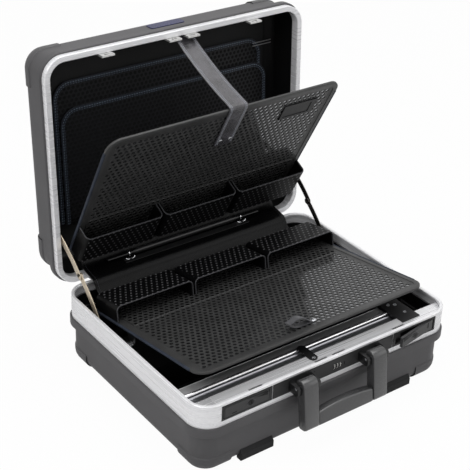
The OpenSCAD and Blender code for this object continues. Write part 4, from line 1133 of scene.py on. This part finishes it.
def makeBeads(name, back, matrix, body):
    half = (board["width"] - 2 * holder["sideGap"] - 2 * holder["gap"]) / 6
    mouth = board["length"] - back - holder["depth"] - 0.1
    foot, top, r = boardTop + 1, boardTop + 0.1 + holder["height"], holder["corner"]
    inset = holder["bead"] * 0.7
    beads = []
    for i in (-1, 0, 1):  # three holders side by side
        x = i * (2 * half + holder["gap"])
        line = [(x + (a - x) * (1 - inset / half), mouth, b - inset * (b > top - r))
                for a, b in arch(x, half, foot, top, r, 15)]
        beads.append(wire("bead", line, holder["bead"]))
    dress(place(join(name, beads), matrix), "beadGrey", body, "black_plastic")


makeBeads("lowerHolderBeads", holder["lowerBack"], lowerPlace, "lower_tray")
makeBeads("upperHolderBeads", holder["upperBack"], upperPlace, "upper_tray")
print("holder beads made")


# Lock: digits on the wheels, key surrounds and the recesses on the levers, drawn as dark plates of painted shade

lock = {"wheels": (-0.6, 5, 10.6), "axis": (-182.4, 104), "radius": 7, "digit": 4.4, "key": (154, -188.7, 105.5),
        "keyOval": (7.6, 5.6), "openTurn": 10, "pin": (198, -186)}


def openLatch(piece):  # turns a piece of the shut right lever to where the photo shows it
    x, y = lock["pin"]
    return place(piece, shift(x, y) @ Matrix.Rotation(radians(lock["openTurn"]), 4, "Z") @ shift(-x, -y))


def makeDigits():
    y, z = lock["axis"]
    onto = shift(0, -lock["radius"] - 0.03) @ Matrix.Rotation(pi / 2, 4, "X")
    for k, x in enumerate(lock["wheels"]):
        digits = []
        for i in range(10):
            deselectAll()
            bpy.ops.object.text_add()
            text = bpy.context.object
            text.data.body = str((i + 3 * k) % 10)
            text.data.align_x, text.data.align_y = "CENTER", "CENTER"
            text.data.size, text.data.extrude = lock["digit"] * 1.25 * mm, 0.06 * mm
            bpy.ops.object.convert(target="MESH")
            turn = Matrix.Rotation(-radians(18 + 36 * i), 4, "X")
            digits.append(place(bpy.context.object, shift(x, y, z) @ turn @ onto))
        dress(join(f"wheelDigits{k + 1}", digits), "digit", f"wheel_{k + 1}", "black_plastic")


def makeKeySurrounds():
    x, y, z = lock["key"]
    a, b = lock["keyOval"]

    def oval(p):
        t = atan2(p.z, p.x)
        r = 1 / ((abs(cos(t)) / a) ** 1.5 + (abs(sin(t)) / b) ** 1.5) ** (1 / 1.5)
        way = Vector((cos(t), 0, sin(t)))
        across = p.x * way.x + p.z * way.z - 1
        return way * (r + across * 3.6) + Vector((0, p.y * 4.0, 0))

    for s, side in sides:
        loop = reshape(ring(f"keySurround{side}", (0, 1, 0), 1, 0.16, 48, 10), oval)
        place(loop, shift(s * x, y, z))
        if s > 0:
            openLatch(loop)
        dress(smooth(loop, 60), "beadGrey", f"latch_{side.lower()}", "black_plastic")


leverWedge = [(-149.6, 111.4), (-136, 110.2), (-124.6, 112.6), (-124.2, 106.4), (-135.2, 108.2)]
leverMarks = {
    "leverWedgeLeft": leverWedge,
    "leverSlashLeft": [(-187, 99.2), (-178.6, 99.2), (-178.2, 100.6), (-186.6, 100.6)],
    "leverWedgeRight": [(-x, z) for x, z in leverWedge],
    "leverSlotRight": [(185.2, 103.6), (188.2, 103.6), (188.2, 112.2), (185.2, 112.2)],
}


def leverMark(name, points):  # a recess drawn as a thin dark plate on the lever's face: painted shade in place of the hollow
    mark = disc(name, len(points), 1)
    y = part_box("latch_lever_left")[0][1] - 0.0001
    for v, (x, z) in zip(mark.data.vertices, points):
        v.co = (x * mm, y, z * mm)
    thicken(mark, 0.2)
    right = name.endswith("Right")
    if right:
        openLatch(mark)
    dress(mark, "interior", "latch_right" if right else "latch_left", "black_plastic")


makeDigits()
makeKeySurrounds()
for name, points in leverMarks.items():
    leverMark(name, points)
print("lock details made")


# Front bay: the rail's corner pieces, the divider, the ledge behind it, and the rivet heads on the band

bay = {"corner": (205, -153), "reach": 32.2, "railTop": 116, "railThick": 2.5, "railBack": -158, "lipHeight": 16,
       "ledge": (-134.2, -117), "ledgeTop": 113.6, "ledgeThick": 2.2, "ledgeEnds": (-231, 149), "ledgeEdge": 0.5,
       "rivet": (118, 104.6), "rivetRadius": 3.6, "rivetDepth": (0.3, 0.5), "bead": 3.3, "plate": 3,
       "channel": [(-141.4, 112.4), (-142.4, 110.9), (-145, 109.9), (-150, 109.6), (-157.4, 110.2)]}


def makeRailEnds():
    cx, cy = bay["corner"]
    back, top = bay["railBack"], bay["railTop"]
    far = cx + sqrt(bay["reach"] ** 2 - (cy - back) ** 2) - 0.5
    ends = []
    for s in (-1, 1):
        plate = disc("railEnd", 72, bay["reach"], centre=(s * cx, cy, top))
        for spot, way in (((s * cx * mm, 0, 0), (-s, 0, 0)), ((0, back * mm, 0), (0, 1, 0))):
            editAll(plate, "FACE")
            bpy.ops.mesh.bisect(plane_co=spot, plane_no=way, clear_outer=True)
            leave()
        faceUp(plate)
        thicken(plate, bay["railThick"], -1)
        left, right = sorted((s * cx, s * far))
        lip = box("railLip", (left, back - 2, top - bay["lipHeight"]), (right, back, top))
        ends += [soften(plate, 0.3, 2), soften(lip, 0.3, 2)]
    dress(smooth(join("railCorners", ends), 40), "railAlloy", "base", "frame_alloy")


def makeLedge():
    low, high = bay["ledge"]
    left, right = bay["ledgeEnds"]
    top = bay["ledgeTop"]
    ledge = box("bayLedge", (left, low, top - bay["ledgeThick"]), (right, high, top))
    edit(ledge, "EDGE", lambda *ends: all(abs(p.y - high) < 0.1 and p.z > top - 1 for p in ends))
    bpy.ops.transform.translate(value=(0, 0, -0.8 * mm))
    leave()
    # the ledge's colour is painted light against the lower board's shadow
    dress(smooth(soften(ledge, 0.5, 3), 40), "ledge", "base", "black_plastic")
    # a bright alloy wire along the ledge's rear edge stands in for the thin line of light that edge catches: a painted
    # highlight
    line = [(x, high + 0.2, top - 0.9) for x in (left, 0, right)]
    dress(wire("ledgeEdge", line, bay["ledgeEdge"], 2), "railAlloy", "base", "frame_alloy")


def makeDivider():  # the plate and its rolled top edge
    low, high = nodeBox("front_divider")
    y, r = (low.y + high.y) / 2, bay["bead"]
    plate = box("dividerPlate", (low.x, y - bay["plate"] / 2, low.z), (high.x, y + bay["plate"] / 2, high.z - r))
    dress(smooth(soften(plate, 0.3, 2), 50), "divider", "base", "frame_alloy", "front_divider")
    bead = rod("dividerBead", (low.x, y, high.z - r), (high.x, y, high.z - r), r, 32)
    dress(smooth(soften(bead, 0.5, 3), 50), "bead", "base", "frame_alloy")
    middle = Route([((low.x + high.x) / 2, *p) for p in bay["channel"]], across=(1, 0, 0))
    channel = ribbon("dividerChannel", middle, high.x - low.x - 1, 0.8, (40, 2))
    dress(smooth(channel, 50), "divider", "base", "frame_alloy")


def makeBandRivets():
    heads = []
    inner, outer = bay["rivetDepth"]
    for s in (-1, 1):
        x = s * case["halfWidth"]
        head = rod("bandRivet", (x - s * inner, *bay["rivet"]), (x + s * outer, *bay["rivet"]), bay["rivetRadius"], 32)
        heads.append(soften(head, 0.35, 3))
    dress(smooth(join("bandRivets", heads), 50), "alloy", "base", "frame_alloy")


makeRailEnds()
makeLedge()
makeDivider()
makeBandRivets()
print("front bay made")


# Stays: the same links, wider and slightly bowed, with a knob at the knee (width and look of each side; the right
# side's look is painted shade, a darkened copy of the nickel)

stay = {"foot": (100, 97.5), "head": (211.38, 199.076), "knee": 4.5, "thick": 1.5, "gap": 0.6, "bow": 3, "knob": 5.4,
        "knobHigh": 2.2, "left": (11.5, "nickel"), "right": (10, "shadedStay")}


def stayLink(part, side, x, p, q, body, knob=None):
    width, look = stay[side.lower()]
    p, q = Vector((0, *p)), Vector((0, *q))
    away = Vector((1, 0, 0)).cross(q - p).normalized()
    if away.y > 0:
        away = -away
    path = [p.lerp(q, i / 10) + away * stay["bow"] * sin(pi * i / 10) + Vector((x, 0, 0)) for i in range(11)]
    half = stay["thick"] / 2
    name = f"stay{part.title()}{side}"
    parts = [ribbon(name, Route(path, 1, up=(1, 0, 0)), width, stay["thick"], (24, 3))]
    parts += [rod("eye", (x - half, e.y, e.z), (x + half, e.y, e.z), width / 2, 32) for e in (p, q)]
    if knob:
        parts.append(rod("knob", (x, q.y, q.z), (x + knob, q.y, q.z), stay["knob"], 32))
    piece = smooth(join(name, [soften(part, 0.3, 2, 50) for part in parts]), 50)
    dress(piece, look, f"{body}_{side.lower()}", "stay_nickel", f"stay_{part}_{side.lower()}")


def makeStays():
    for s, side in sides:
        high = nodeBox(f"stay_lower_{side.lower()}")[1]
        knee = (high.y - stay["knee"], high.z - stay["knee"])
        x = sum(c.x for c in nodeBox(f"stay_upper_{side.lower()}")) / 2
        stayLink("upper", side, x, stay["head"], knee, "lid_link")
        stayLink("lower", side, x - s * (stay["gap"] + stay["thick"]), stay["foot"], knee, "base_link",
                 -s * stay["knobHigh"])


makeStays()
print("stays made")


# Handle: the same solids with their edges rounded over (radius, segments, look, body and slot of each kind)

handle = {"arm": (2.4, 3, "handle", "handle", "shell_plastic"), "grip": (3.0, 3, "handle", "handle", "shell_plastic"),
          "bracket": (1.1, 2, "bracket", "base", "black_plastic")}


def roundOver(node, kind):
    width, segments, look, body, slot = handle[kind]
    first, *words = node.split("_")
    piece = copyOf(nodes[node], first + "".join(w.title() for w in words))
    piece.parent = None
    piece.matrix_world = Matrix.Identity(4)
    piece.hide_render = piece.hide_viewport = False
    for key in list(piece.keys()):
        del piece[key]
    editAll(weld(piece), "EDGE")
    bpy.ops.mesh.dissolve_limited(angle_limit=radians(1))
    leave()
    dress(smooth(soften(piece, width, segments, 50), 35), look, body, slot, node)


for kind, ends in (("arm", ("_left", "_right")), ("grip", ("",)), ("bracket", ("_left", "_right"))):
    for end in ends:
        roundOver(f"handle_{kind}{end}", kind)
print("handle rounded")
